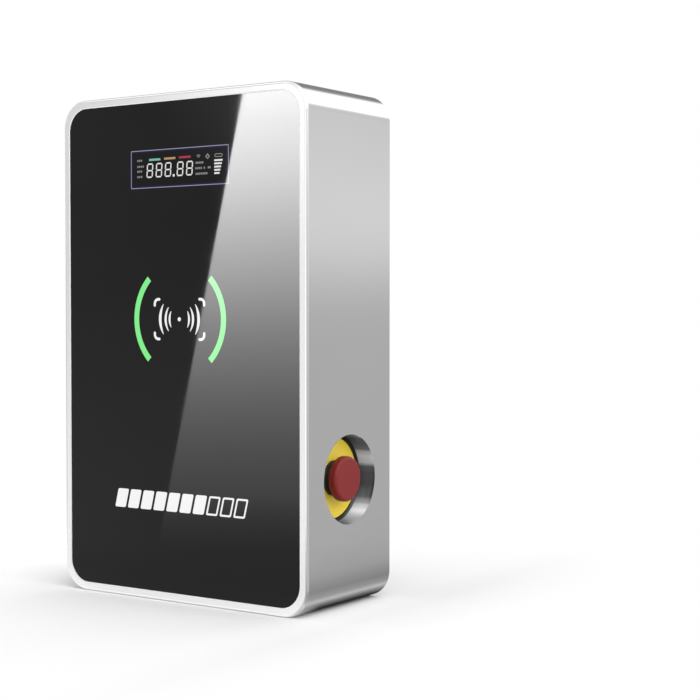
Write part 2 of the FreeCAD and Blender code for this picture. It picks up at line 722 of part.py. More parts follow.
def stop_body(label):
    return new_body(label, stop_floor, stop_depth, s.stop_rise, SIDEWAYS)


def make_stop_cup():
    body = stop_body("stop_cup")
    inner, outer = s.stop_opening_radius, s.stop_opening_radius + s.cup_sheet
    rim = s.stop_recess - s.wall
    hole = s.barrel_radius + s.barrel_hole_gap
    flange = outer + s.cup_flange_width
    profile = [(hole, 0), (inner, 0), (inner, rim), (flange, rim), (flange, rim - s.cup_sheet),
               (outer, rim - s.cup_sheet), (outer, -s.cup_sheet), (hole, -s.cup_sheet)]
    add_turned(body, profile, [0, s.cup_sheet, 0, 0, 0, 0, 2 * s.cup_sheet, 0])
    return body


def make_stop_legend():
    body = stop_body("stop_legend")
    hole = s.barrel_radius + s.barrel_hole_gap
    top = s.legend_thickness
    profile = [(hole, 0), (legend_radius, 0), (legend_radius, top), (hole, top)]
    add_turned(body, profile, [0, 0, s.legend_edge_radius, 0])
    return body


def make_stop_gasket():
    body = stop_body("stop_gasket")
    hole, outer = s.barrel_radius + s.barrel_hole_gap, s.bezel_radius - s.barrel_hole_gap
    low = s.legend_thickness
    add_turned(body, [(hole, low), (outer, low), (outer, gasket_top), (hole, gasket_top)])
    return body


def make_stop_collar():
    # the switch's fixed barrel with its bezel, open through the middle for the plunger
    body = stop_body("stop_collar")
    end = -s.barrel_length
    stop = s.bore_radius - s.spring_wire - s.barrel_lip
    profile = [(s.bore_radius, collar_top), (s.bore_radius, end + s.barrel_lip), (stop, end + s.barrel_lip),
               (stop, end), (s.barrel_radius, end), (s.barrel_radius, gasket_top),
               (s.bezel_radius, gasket_top), (s.bezel_radius, bezel_top),
               (s.collar_radius, bezel_top), (s.collar_radius, collar_top)]
    add_turned(body, profile, [0, 0, 0, 0, 0.5, 0, 0.3, 0.6, 0.3, 0.8])
    return body


def make_stop_nut():
    top = -s.cup_sheet
    body = new_body("stop_nut", stop_floor + top, stop_depth, s.stop_rise, SIDEWAYS)
    bore = (draw_circle, mid, mid, s.barrel_radius + s.screw_gap)
    flats = (draw_hexagon, mid, mid, s.stop_nut_flats)
    add_slab(body, "floor", -s.stop_nut_thickness, 0, flats, bore)
    return body


def make_stop_contact_block():
    # clips on the barrel's inner end; its terminals face the wall and the glass
    end = s.barrel_length
    body = new_body("stop_contact_block", stop_floor - end, stop_depth, s.stop_rise)
    outline = (draw_box, mid, mid, s.contact_width, s.contact_height, as_size(1.5))
    add_slab(body, "side", -s.contact_depth, 0, outline)
    well = (draw_circle, mid, mid, s.plunger_rod_radius + s.contact_well_gap)
    cut_slab(body, "side", -s.contact_well_depth, 0, well)
    terminals = []
    for up in (-1, 1):
        for across in (-1, 1):
            spot = (across * s.contact_screw_across, up * s.contact_screw_up)
            terminals.append((draw_circle, *spot, s.contact_screw_radius))
    cut_slab(body, "side", -s.contact_depth, s.contact_screw_depth - s.contact_depth, *terminals)
    return body


def make_stop_plunger():
    body = stop_body("stop_plunger")
    slide = s.bore_radius - s.slide_gap
    guide = collar_top - s.collar_height - s.stop_travel
    shoulder = hub_bottom - s.screw_gap
    rod_end = -s.barrel_length - s.stop_travel
    lip, end = guide - s.guide_lip, spigot_top - s.spigot_end_gap
    profile = [(0, rod_end), (s.plunger_rod_radius, rod_end), (s.plunger_rod_radius, lip), (slide, lip),
               (slide, shoulder), (s.spigot_radius, shoulder), (s.spigot_radius, end), (0, end)]
    add_turned(body, profile)
    return body


def make_stop_spring():
    # a compression spring between the barrel's inner lip and the plunger's guide
    start = -s.barrel_length + s.barrel_lip
    guide = collar_top - s.collar_height - s.stop_travel - s.guide_lip
    body = new_body("stop_spring", stop_floor + start, stop_depth, s.stop_rise, SIDEWAYS)
    sketch = new_sketch(body, "front", 0)
    coil = s.bore_radius - s.spring_wire
    drawing = Drawing()
    draw_circle(drawing, coil, s.spring_wire / 2 + s.screw_gap, s.spring_wire / 2)
    drawing.finish(sketch)
    feature = body.newObject("PartDesign::AdditiveHelix", "spring_coil")
    feature.Profile = sketch
    feature.ReferenceAxis = (sketch, ["V_Axis"])
    feature.Mode = "height-turns-angle"
    height = guide - start - s.spring_wire - 2 * s.screw_gap
    feature.Height = height.number
    bind(feature, "Height", height)
    feature.Turns = s.spring_turns.number
    bind(feature, "Turns", s.spring_turns)
    doc.recompute()
    return body


def make_stop_head():
    body = stop_body("stop_head")
    hollow = s.collar_radius + s.head_hollow_gap
    hub = s.bore_radius - s.hub_gap
    bore = s.spigot_radius + s.slide_gap
    profile = [(0, head_top), (s.head_radius, head_top), (s.head_radius, head_bottom),
               (hollow, head_bottom), (hollow, head_ceiling), (hub, head_ceiling), (hub, hub_bottom),
               (bore, hub_bottom), (bore, spigot_top), (0, spigot_top)]
    edge, skirt = s.head_edge_radius, s.head_skirt_radius
    add_turned(body, profile, [0, edge, skirt, skirt / 2, 0, 0, 0, 0, 0, 0])
    return body


# Back plate, hanging studs and wall bracket

def make_back_plate():
    body = new_body("back_plate")
    add_slab(body, "front", plate_inner, s.box_depth, (draw_rear, s.wall + s.plate_gap))
    cut_slab(body, "front", plate_inner, s.box_depth, *circles(screw_places, s.plate_hole_radius))
    hole = s.stud_thread_radius + s.stud_hole_gap
    cut_slab(body, "front", plate_inner, s.box_depth, *circles(stud_places, hole))
    return body


def make_back_gasket():
    body = new_body("back_gasket")
    outer = s.wall + s.gasket_gap
    inner = s.wall + s.flange_reach - s.gasket_gap
    add_slab(body, "front", flange_back, plate_inner, (draw_rear, outer), (draw_rear, inner))
    return body


def make_back_screws():
    body = new_body("back_screw", 0, s.box_depth, 0, BACKWARD)
    head, top = s.screw_head_radius, s.screw_head_height
    end = -s.screw_length
    profile = [(0, end), (s.screw_radius, end), (s.screw_radius, 0), (head, 0), (head, top), (0, top)]
    add_turned(body, profile, [0, 0, 0, 0, top / 2, 0])
    socket = (draw_hexagon, mid, mid, s.screw_socket_flats)
    cut_slab(body, "floor", top - s.screw_socket_depth, top, socket)
    return repeat("back_screws", body, [(a, s.box_depth, r) for a, r in screw_places])


def make_hanging_studs():
    body = new_body("hanging_stud", 0, s.box_depth, 0, BACKWARD)
    neck = s.stud_neck_length
    top = neck + s.stud_head_thickness
    thread_end = -s.plate_thickness - s.stud_thread_length
    profile = [(0, thread_end), (s.stud_thread_radius, thread_end), (s.stud_thread_radius, 0),
               (s.stud_neck_radius, 0), (s.stud_neck_radius, neck), (s.stud_head_radius, neck),
               (s.stud_head_radius, top), (0, top)]
    add_turned(body, profile, [0, 0.5, 0, 0, 0, 0.4, 0.8, 0])
    return repeat("hanging_studs", body, [(a, s.box_depth, r) for a, r in stud_places])


def make_stud_nuts():
    start = plate_inner - s.stud_nut_thickness
    body = new_body("stud_nut", 0, start, 0, BACKWARD)
    bore = (draw_circle, mid, mid, s.stud_thread_radius + s.screw_gap)
    flats = (draw_hexagon, mid, mid, s.stud_nut_flats)
    add_slab(body, "floor", 0, s.stud_nut_thickness, flats, bore)
    return repeat("stud_nuts", body, [(a, start, r) for a, r in stud_places])


def make_wall_bracket():
    # folded sheet: a spine with wings above and a tray with a stepped strip below
    body = new_body("wall_bracket")
    floor = s.box_depth + s.spine_gap
    floor_top = floor + s.sheet
    wall_plane = s.box_depth + s.wall_gap
    inner_wall = wall_plane - s.sheet
    add_tray(body, floor, wall_plane)
    wing_low = s.wing_top - s.wing_height
    spine = (draw_channel, s.spine_half, floor, wall_plane)
    winged = (draw_channel, s.spine_half, floor, wall_plane, s.crossbar_half)
    add_slab(body, "floor", s.tray_top, wing_low, spine)
    add_slab(body, "floor", wing_low, s.wing_top, winged)
    tip = s.crossbar_half.number
    round_edges(body, s.wing_radius, lambda edge, middle: is_wing_corner(edge, middle, tip, wing_low.number))
    cut_bracket_slots(body, inner_wall, wall_plane)
    cut_keyholes(body, floor, floor_top)
    return body


def add_tray(body, floor, wall_plane):
    # floor, two ends and the step down to the strip that lies on the wall
    reach, step, top = s.crossbar_half, s.step_rise, s.tray_top
    height = top - step
    middle = step + height / 2
    add_slab(body, "front", floor, floor + s.sheet, (draw_box, mid, middle, 2 * reach, height))
    ends = [(draw_box, side * (reach - s.sheet / 2), middle, s.sheet, height) for side in (-1, 1)]
    add_slab(body, "front", floor, wall_plane, *ends)
    add_slab(body, "front", floor, wall_plane, (draw_box, mid, step + s.sheet / 2, 2 * reach, s.sheet))
    strip_height = step + s.sheet - s.strip_bottom
    strip = (draw_box, mid, s.strip_bottom + strip_height / 2, 2 * reach, strip_height)
    add_slab(body, "front", wall_plane - s.sheet, wall_plane, strip)
    outer_folds = [(reach, floor, None), (None, floor, step), (None, wall_plane, step + s.sheet)]
    inside = floor + s.sheet
    inner_folds = [(reach - s.sheet, inside, None), (None, inside, step + s.sheet),
                   (None, wall_plane - s.sheet, step)]
    round_edges(body, s.bend_radius + s.sheet, lambda edge, middle: lies_on_fold(edge, middle, outer_folds))
    round_edges(body, s.bend_radius, lambda edge, middle: lies_on_fold(edge, middle, inner_folds))


def draw_channel(drawing, half, floor, wall_plane, reach=None):
    # the folded sheet from above; with a reach, its edges turn out into wings
    inside, inner_wall = half - s.sheet, wall_plane - s.sheet
    inner, outer = s.bend_radius, s.bend_radius + s.sheet
    web, edge = [(inside, floor + s.sheet)], [(half, floor)]
    if reach:
        rim = [(half, inner_wall), (reach, inner_wall), (reach, wall_plane), (inside, wall_plane)]
        bends = [outer, inner, 0, 0, outer, inner]
    else:
        rim = [(half, wall_plane), (inside, wall_plane)]
        bends = [outer, 0, 0, inner]
    right = edge + rim + web
    left = [(-across, depth) for across, depth in right[::-1]]
    draw_outline(drawing, right + left, bends + bends[::-1])


def is_wing_corner(edge, middle, tip, wing_low):
    along = edge.tangentAt(edge.FirstParameter)
    return abs(along.y) > 0.99 and abs(abs(middle.x) - tip) < 1e-6 and middle.z > wing_low - 1e-6


def lies_on_fold(edge, middle, folds):
    # a fold is upright at an across, or level at a rise, and always at a depth
    along = edge.tangentAt(edge.FirstParameter)
    for across, depth, rise in folds:
        if abs(middle.y - depth.number) > 1e-6:
            continue
        if across and abs(along.z) > 0.99 and abs(abs(middle.x) - across.number) < 1e-6:
            return True
        if rise and abs(along.x) > 0.99 and abs(middle.z - rise.number) < 1e-6:
            return True
    return False


def cut_bracket_slots(body, start, end):
    level = (s.wing_slot_length - s.wing_slot_width) / 2
    upright = (s.strip_slot_length - s.strip_slot_width) / 2
    slots = []
    for side in (-1, 1):
        across = side * s.slot_half_spacing
        ends = (across - level, s.wing_slot_rise), (across + level, s.wing_slot_rise)
        slots.append((draw_slot, *ends, s.wing_slot_width / 2))
        ends = (across, s.strip_slot_rise - upright), (across, s.strip_slot_rise + upright)
        slots.append((draw_slot, *ends, s.strip_slot_width / 2))
    cut_slab(body, "front", start, end, *slots)


def cut_keyholes(body, start, end):
    # the stud's neck rests on the round lower end of each slot
    rest = s.keyhole_slot_half - s.stud_neck_radius
    heads = [(across, rise + s.keyhole_drop) for across, rise in stud_places]
    cut_slab(body, "front", start, end, *circles(heads, s.keyhole_radius))
    for across, rise in stud_places:
        ends = (across, rise + rest), (across, rise + s.keyhole_drop)
        cut_slab(body, "front", start, end, (draw_slot, *ends, s.keyhole_slot_half))


# Cable glands in the notch roof; heights are measured down from the roof

GLAND_PARTS = ("across", "thread", "flats", "hex_height", "cap_radius", "cap_height", "cap_end", "mouth",
               "neck", "insert")


def gland_sizes(name):
    sizes = {part: getattr(s, name + "_" + part) for part in GLAND_PARTS}
    return types.SimpleNamespace(**sizes)


def gland_part(label, gland):
    return new_body(label, gland.across, s.gland_depth, s.notch_height, DOWNWARD)


def make_gland_body(name):
    gland = gland_sizes(name)
    body = gland_part(name + "_gland_body", gland)
    top, bottom = s.gland_washer, s.gland_washer + gland.hex_height
    add_slab(body, "floor", top, bottom, (draw_hexagon, mid, mid, gland.flats))
    neck = gland.cap_radius - s.cap_wall - s.screw_gap
    neck_end = bottom + gland.neck
    bore = neck - s.neck_wall
    stub = -s.wall - s.gland_stub
    add_turned(body, [(0, stub), (gland.thread, stub), (gland.thread, top), (0, top)], [0, 1, 0, 0])
    add_turned(body, [(0, bottom), (neck, bottom), (neck, neck_end), (0, neck_end)])
    well = [(0, bottom), (bore, bottom), (bore, neck_end), (0, neck_end)]
    add_turned(body, well, 0, 360, "PartDesign::Groove")
    clear = gland.mouth + s.body_bore_gap
    add_turned(body, [(0, stub), (clear, stub), (clear, bottom), (0, bottom)], 0, 360, "PartDesign::Groove")
    return body


def make_gland_cap(name):
    gland = gland_sizes(name)
    body = gland_part(name + "_gland_cap", gland)
    start = s.gland_washer + gland.hex_height
    end = start + gland.cap_height
    inner = gland.cap_radius - s.cap_wall
    ceiling = end - gland.cap_end
    mouth = gland.mouth + s.cap_mouth_gap
    profile = [(inner, start), (gland.cap_radius, start), (gland.cap_radius, end),
               (mouth, end), (mouth, ceiling), (inner, ceiling)]
    add_turned(body, profile, [0, 0, gland.cap_end, s.cap_mouth_radius, 0, gland.cap_end / 2])
    return body


def make_gland_insert(name):
    gland = gland_sizes(name)
    body = gland_part(name + "_gland_insert", gland)
    start = s.gland_washer + gland.hex_height
    end = start + gland.insert
    outer = gland.cap_radius - s.cap_wall - s.screw_gap - s.neck_wall - s.insert_gap
    inner = gland.mouth
    add_turned(body, [(inner, start), (outer, start), (outer, end), (inner, end)], [0, 0, 1, 0])
    return body


def make_gland_ring(label, name, start, end, outer, hexagonal):
    gland = gland_sizes(name)
    body = gland_part(label, gland)
    draw = draw_hexagon if hexagonal else draw_circle
    bore = (draw_circle, mid, mid, gland.thread + s.screw_gap)
    add_slab(body, "floor", start, end, (draw, mid, mid, outer), bore)
    return body


def make_gland_rings(label, hexagonal):
    rings = []
    for name in ("large", "small"):
        gland = gland_sizes(name)
        if hexagonal:
            start, end = -s.wall - s.locknut_height, -s.wall
            outer = 2 * (gland.thread + s.locknut_rim)
        else:
            start, end = mid, s.gland_washer
            outer = gland.thread + s.locknut_rim
        rings.append(make_gland_ring("{}_{}".format(name, label), name, start, end, outer, hexagonal))
    group = doc.addObject("Part::Compound", label)
    group.Label = label
    group.Links = rings
    doc.recompute()
    return group


# Electrics on the chassis plate

def chassis_places():
    rises = (s.chassis_post_low, s.chassis_post_high)
    return [(side * s.chassis_post_side, rise) for side in (-1, 1) for rise in rises]


def rail_places():
    return [(side * s.rail_length / 3, s.rail_rise) for side in (-1, 1)]


def make_chassis_posts():
    body = new_body("chassis_post", 0, chassis_back, 0, BACKWARD)
    flats = (draw_hexagon, mid, mid, s.chassis_post_flats)
    add_slab(body, "floor", 0, s.chassis_post_length, flats)
    thread = (draw_circle, mid, mid, s.chassis_screw_radius + s.screw_gap)
    cut_slab(body, "floor", 0, s.chassis_screw_length, thread)
    return repeat("chassis_posts", body, [(a, chassis_back, r) for a, r in chassis_places()])


def make_chassis_plate():
    body = new_body("chassis_plate")
    height = s.chassis_top - s.chassis_bottom
    middle = s.chassis_bottom + height / 2
    outline = (draw_box, mid, middle, 2 * s.chassis_half, height, as_size(6))
    add_slab(body, "front", chassis_front, chassis_back, outline)
    hole = s.chassis_screw_radius + s.window_gap
    cut_slab(body, "front", chassis_front, chassis_back, *circles(chassis_places() + rail_places(), hole))
    return body


def make_chassis_screws():
    body = new_body("chassis_screw", 0, chassis_front, 0, BACKWARD)
    end = s.chassis_screw_length
    head, rise = s.chassis_screw_head, s.chassis_screw_head_height
    profile = [(0, -rise), (head, -rise), (head, 0), (s.chassis_screw_radius, 0),
               (s.chassis_screw_radius, end), (0, end)]
    add_turned(body, profile, [0, rise / 3, 0, 0, 0, 0])
    places = [(a, chassis_front, r) for a, r in chassis_places()]
    places += [(a, chassis_front - s.rail_sheet, r) for a, r in rail_places()]
    return repeat("chassis_screws", body, places)


def make_din_rail():
    body = new_body("din_rail")
    back, front = chassis_front, rail_front
    web, edge = s.rail_web / 2, s.rail_width / 2
    thin = s.rail_sheet
    half = [(back, web), (front + thin, web), (front + thin, edge), (front, edge),
            (front, web - thin), (back - thin, web - thin)]
    upper = [(depth, s.rail_rise + up) for depth, up in half]
    lower = [(depth, s.rail_rise - up) for depth, up in half[::-1]]
    start, end = -s.rail_length / 2, s.rail_length / 2
    add_slab(body, "side", start, end, (draw_outline, upper + lower))
    hole = s.chassis_screw_radius + s.window_gap
    cut_slab(body, "front", back - thin, back, *circles(rail_places(), hole))
    return body


def make_rail_device(label, start, width, poles):
    # a modular device with a raised nose and terminals above and below it
    body = new_body(label)
    back = rail_front
    shoulder = back - s.device_depth
    nose = shoulder - s.device_nose
    tall, short = s.device_height / 2, s.device_nose_height / 2
    half = [(back, tall), (shoulder, tall), (shoulder, short), (nose, short)]
    upper = [(depth, s.rail_rise + up) for depth, up in half]
    lower = [(depth, s.rail_rise - up) for depth, up in half[::-1]]
    add_slab(body, "side", start, start + width, (draw_outline, upper + lower))
    screws = []
    for pole in range(poles):
        across = start + width * (pole + 0.5) / poles
        for up in (-1, 1):
            screws.append((across, s.rail_rise + up * (tall + short) / 2))
    screw_floor = shoulder + s.device_screw_depth
    cut_slab(body, "front", shoulder, screw_floor, *circles(screws, s.device_screw_radius))
    lever = (draw_box, start + width / 2, s.rail_rise, s.lever_width, s.lever_height, as_size(1))
    add_slab(body, "front", nose - s.lever_depth, nose, lever)
    return body


def make_terminal_block():
    body = new_body("terminal_block")
    front = chassis_front - s.terminal_depth
    outline = (draw_box, mid, s.terminal_rise, s.terminal_width, s.terminal_height, as_size(1))
    add_slab(body, "front", front, chassis_front, outline)
    poles = [(step * s.terminal_pitch, s.terminal_rise) for step in (-2, -1, 0, 1, 2)]
    cut_slab(body, "front", front, front + s.terminal_screw_depth, *circles(poles, s.terminal_screw_radius))
    wire_depth = front + s.terminal_depth / 2
    wires = [(draw_circle, across, wire_depth, s.terminal_wire_radius) for across, rise in poles]
    low = s.terminal_rise - s.terminal_height / 2
    cut_slab(body, "floor", low, low + s.terminal_wire_depth, *wires)
    return body


def make_current_ring():
    # a current transformer that the output conductors pass through
    body = new_body("current_ring")
    low, high = s.ring_rise, s.ring_rise + s.ring_thickness
    centre = (s.large_across, s.gland_depth)
    add_slab(body, "floor", low, high, (draw_circle, *centre, s.ring_outer))
    foot_depth = chassis_front - s.gland_depth
    foot = (draw_box, s.large_across, s.gland_depth + foot_depth / 2, s.ring_outer, foot_depth)
    add_slab(body, "floor", low, high, foot)
    cut_slab(body, "floor", low, high, (draw_circle, *centre, s.ring_inner))
    return body


def make_power_supply():
    body = new_body("power_supply")
    front = chassis_front - s.supply_depth
    outline = (draw_box, s.supply_across, s.supply_rise, s.supply_width, s.supply_height, as_size(2))
    add_slab(body, "front", front, chassis_front, outline)
    fins = []
    for step in range(-2, 3):
        rise = s.supply_rise + step * s.supply_slot_pitch
        fins.append((draw_box, s.supply_across, rise, s.supply_slot_length, s.supply_slot_width))
    cut_slab(body, "front", front, front + s.supply_slot_depth, *fins)
    return body


def control_holes():
    across, up = s.control_width / 2 - s.board_hole_inset, s.control_height / 2 - s.board_hole_inset
    places = []
    for side in (-1, 1):
        places += [(s.control_across + side * across, s.control_rise + way * up) for way in (-1, 1)]
    return places


def make_control_board():
    body = new_body("control_board")
    back = chassis_front - s.control_post_length
    front = back - s.circuit_thickness
    outline = (draw_box, s.control_across, s.control_rise, s.control_width, s.control_height, as_size(2))
    add_slab(body, "front", front, back, outline)
    cut_slab(body, "front", front, back, *circles(control_holes(), s.chassis_screw_radius))
    relays = []
    for step in range(1, 5):
        across = s.control_across - s.control_width / 2 + step * s.relay_pitch
        relays.append((draw_box, across, s.control_rise - s.relay_drop, s.relay_width, s.relay_height))
    add_slab(body, "front", front - s.relay_width, front, *relays)
    chip = (draw_box, s.control_across + s.control_chip_across, s.control_rise, s.relay_width, s.relay_width)
    add_slab(body, "front", front - s.circuit_thickness, front, chip)
    cans = [(s.control_across + step * s.can_pitch, s.control_rise + s.can_rise) for step in (-2, -1, 0)]
    add_slab(body, "front", front - s.can_height, front, *circles(cans, s.can_radius))
    return body


def make_board_posts():
    start = chassis_front - s.control_post_length - s.circuit_thickness
    body = new_body("board_post", 0, start, 0, BACKWARD)
    shank, head = s.chassis_screw_radius - s.screw_gap, s.chassis_screw_head
    seat = s.circuit_thickness
    end = seat + s.control_post_length
    profile = [(0, -seat), (head, -seat), (head, 0), (shank, 0), (shank, seat), (head, seat),
               (head, end), (0, end)]
    add_turned(body, profile)
    return repeat("board_posts", body, [(a, start, r) for a, r in control_holes()])


def make_earth_stud():
    body = new_body("earth_stud", s.earth_across, chassis_front, s.earth_rise, BACKWARD)
    end, step, base = -s.earth_length, -s.earth_base_height, s.earth_base_radius
    profile = [(0, end), (s.earth_radius, end), (s.earth_radius, step), (base, step), (base, 0), (0, 0)]
    add_turned(body, profile)
    nut = (draw_hexagon, mid, mid, s.earth_nut_flats)
    add_slab(body, "floor", -s.earth_nut_lift, s.earth_nut_height - s.earth_nut_lift, nut)
    return body


def make_rail_devices():
    contactor = make_rail_device("contactor", s.device_start, s.contactor_width, 4)
    start = s.device_start + s.contactor_width + s.device_gap
    leakage = make_rail_device("leakage_module", start, s.leakage_width, 2)
    start = start + s.leakage_width + s.device_gap
    meter = make_rail_device("energy_meter", start, s.meter_width, 1)
    return [contactor, leakage, meter]


def make_all():
    pieces = [make_shell(), make_front_glass(), make_glass_seal(), make_front_carrier(), make_carrier_nuts(),
              make_display_module(), make_light_guides(), make_led_board(), make_reader_board(),
              make_front_board_screws()]
    pieces += [make_stop_cup(), make_stop_legend(), make_stop_gasket(), make_stop_collar(), make_stop_nut(),
               make_stop_contact_block(), make_stop_plunger(), make_stop_spring(), make_stop_head()]
    pieces += [make_back_plate(), make_back_gasket(), make_back_screws(), make_hanging_studs(),
               make_stud_nuts(), make_wall_bracket()]
    for name in ("large", "small"):
        pieces += [make_gland_body(name), make_gland_cap(name), make_gland_insert(name)]
    pieces += [make_gland_rings("gland_washers", False), make_gland_rings("gland_locknuts", True)]
    pieces += [make_chassis_posts(), make_chassis_plate(), make_chassis_screws(), make_din_rail()]
    pieces += make_rail_devices()
    pieces += [make_terminal_block(), make_current_ring(), make_power_supply(), make_control_board(),
               make_board_posts(), make_earth_stud()]
    return pieces


def check(pieces):
    for thing in doc.Objects:
        if "Invalid" in thing.State or "Error" in thing.State:
            raise ValueError("{} is {}".format(thing.Name, thing.State))
    for piece in pieces:
        if piece.Shape.isNull() or not piece.Shape.isValid() or not piece.Shape.Solids:
            raise ValueError(piece.Label + " has no valid solid")


pieces = make_all()
doc.recompute()
check(pieces)
os.makedirs("parts", exist_ok=True)
for piece in pieces:
    piece.Shape.exportStep("parts/{}.step".format(piece.Label))
    print(piece.Label, len(piece.Shape.Solids), round(piece.Shape.Volume / 1000, 2))
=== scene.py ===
import json
from math import asin, atan2, cos, degrees, pi, radians, sin, tan

import bmesh
import bpy
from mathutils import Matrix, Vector

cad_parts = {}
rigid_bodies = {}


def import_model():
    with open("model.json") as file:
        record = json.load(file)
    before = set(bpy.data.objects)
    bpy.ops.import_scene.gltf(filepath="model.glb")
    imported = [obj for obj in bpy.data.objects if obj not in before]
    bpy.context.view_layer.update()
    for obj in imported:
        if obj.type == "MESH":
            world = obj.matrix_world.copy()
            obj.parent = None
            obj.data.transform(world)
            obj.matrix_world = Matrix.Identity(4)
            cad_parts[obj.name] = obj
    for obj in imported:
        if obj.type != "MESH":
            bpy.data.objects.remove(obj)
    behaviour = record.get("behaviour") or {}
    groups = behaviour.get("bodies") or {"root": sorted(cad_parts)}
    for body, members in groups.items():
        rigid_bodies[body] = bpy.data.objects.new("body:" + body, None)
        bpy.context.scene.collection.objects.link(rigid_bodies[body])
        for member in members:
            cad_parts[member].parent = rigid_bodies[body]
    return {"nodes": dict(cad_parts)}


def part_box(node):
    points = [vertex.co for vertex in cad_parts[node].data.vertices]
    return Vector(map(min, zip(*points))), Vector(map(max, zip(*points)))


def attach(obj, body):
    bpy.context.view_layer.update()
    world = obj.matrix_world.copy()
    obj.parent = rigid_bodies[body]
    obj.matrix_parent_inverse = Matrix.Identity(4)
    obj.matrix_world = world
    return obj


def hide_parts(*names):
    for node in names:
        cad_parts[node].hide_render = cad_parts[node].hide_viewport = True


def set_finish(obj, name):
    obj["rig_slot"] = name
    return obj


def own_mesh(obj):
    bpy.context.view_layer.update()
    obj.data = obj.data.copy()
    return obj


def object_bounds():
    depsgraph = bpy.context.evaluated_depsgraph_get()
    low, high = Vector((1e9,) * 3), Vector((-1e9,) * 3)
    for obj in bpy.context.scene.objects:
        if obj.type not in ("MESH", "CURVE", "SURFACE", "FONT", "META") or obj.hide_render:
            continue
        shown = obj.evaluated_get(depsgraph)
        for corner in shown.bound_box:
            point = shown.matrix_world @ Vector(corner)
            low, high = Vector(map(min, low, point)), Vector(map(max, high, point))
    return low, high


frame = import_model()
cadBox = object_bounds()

mm = 0.001
weld = 1e-6  # vertices nearer than this are one
sharpAngle = radians(35)  # edges that turn further than this stay sharp
lowest, highest = cadBox
boxSize = [round(side / mm) for side in highest - lowest]
print("stage: frame loaded,", len(frame["nodes"]), "nodes, box in mm", boxSize)


# Camera

camera = {"place": (0.7921, -0.9873, 0.2333), "turn": 34.307, "tilt": -1.643, "lens": 79.67, "sensor": 36,
          "clipEnd": 60}


def newObject(name, data):
    made = bpy.data.objects.new(name, data)
    bpy.context.scene.collection.objects.link(made)
    return made


def makeCamera():
    data = bpy.data.cameras.new("studioCamera")
    data.lens = camera["lens"]
    data.sensor_width = camera["sensor"]
    data.clip_end = camera["clipEnd"]
    holder = newObject("studioCamera", data)
    holder.location = camera["place"]
    holder.rotation_euler = (radians(90 + camera["tilt"]), 0, radians(camera["turn"]))
    bpy.context.scene.camera = holder


makeCamera()


# Node trees

class Tree:
    def __init__(self, tree):
        self.tree = tree

    def add(self, kind, inputs=None, **fields):
        made = self.tree.nodes.new(kind)
        for field, value in fields.items():
            setattr(made, field, value)
        for socket, value in (inputs or {}).items():
            if isinstance(value, bpy.types.NodeSocket):
                self.tree.links.new(value, made.inputs[socket])
            else:
                made.inputs[socket].default_value = value
        return made

    def out(self, kind, inputs=None, **fields):  # the first output of a new node
        return self.add(kind, inputs, **fields).outputs[0]

    def maths(self, operation, *values):
        return self.out("ShaderNodeMath", dict(enumerate(values)), operation=operation)

    def times(self, first, second):
        return self.maths("MULTIPLY", first, second)

    def parts(self, vector):
        return self.add("ShaderNodeSeparateXYZ", {0: vector}).outputs

    def spread(self, value, low, high, start=0.3, end=0.7, **fields):
        # goes from low to high between start and end, which are where most of a noise lies
        inputs = {"Value": value, "From Min": start, "From Max": end, "To Min": low, "To Max": high}
        return self.out("ShaderNodeMapRange", inputs, **fields)

    def mix(self, factor, first, second):
        return self.out("ShaderNodeMix", {0: factor, 2: first, 3: second})

    def ramp(self, factor, stops, blending="LINEAR"):
        # stops run from left to right, each a place from 0 to 1 and its grey level
        made = self.add("ShaderNodeValToRGB", {0: factor})
        made.color_ramp.interpolation = blending
        points = made.color_ramp.elements
        while len(points) > 1:
            points.remove(points[-1])
        points[0].position = stops[0][0]
        for place, level in stops:
            point = points[0] if place == stops[0][0] else points.new(place)
            point.color = (level, level, level, 1)
        return made.outputs[0]


def tint(colour, factor):
    return tuple(channel * factor for channel in colour)


class Shade(Tree):
    def __init__(self, name):
        self.material = bpy.data.materials.new(name)
        self.material.use_nodes = True
        super().__init__(self.material.node_tree)
        self.tree.nodes.clear()
        self.output = self.add("ShaderNodeOutputMaterial")
        self.surface = self.add("ShaderNodeBsdfPrincipled")
        self.show(self.surface.outputs[0])
        self.place = self.add("ShaderNodeTexCoord").outputs["Object"]

    def show(self, surface):
        self.tree.links.new(surface, self.output.inputs["Surface"])

    def fix(self, **values):  # numbers that are the same all over the surface
        for label, value in values.items():
            self.surface.inputs[label.replace("_", " ")].default_value = value

    def join(self, label, value):
        self.tree.links.new(value, self.surface.inputs[label])

    def noise(self, perMetre, detail, rough=0.5):
        scale = perMetre if isinstance(perMetre, tuple) else (perMetre,) * 3
        spread = self.out("ShaderNodeMapping", {"Vector": self.place, "Scale": scale})
        inputs = {"Vector": spread, "Scale": 1, "Detail": detail, "Roughness": rough}
        return self.add("ShaderNodeTexNoise", inputs).outputs["Fac"]

    def blend(self, factor, first, second):
        made = self.add("ShaderNodeMix", {0: factor}, data_type="RGBA")
        for socket, value in ((made.inputs[6], first), (made.inputs[7], second)):
            if isinstance(value, bpy.types.NodeSocket):
                self.tree.links.new(value, socket)
            else:
                socket.default_value = (*value, 1)
        return made.outputs[2]

    def drift(self, noise, colour, share):
        # a colour that gets darker and lighter by a share of itself
        return self.blend(self.spread(noise, 0, 1), tint(colour, 1 - share), tint(colour, 1 + share))

    def bump(self, height, depth, below=None):
        inputs = {"Height": height, "Distance": depth, "Strength": 1}
        if below:
            inputs["Normal"] = below
        return self.out("ShaderNodeBump", inputs)


# Materials

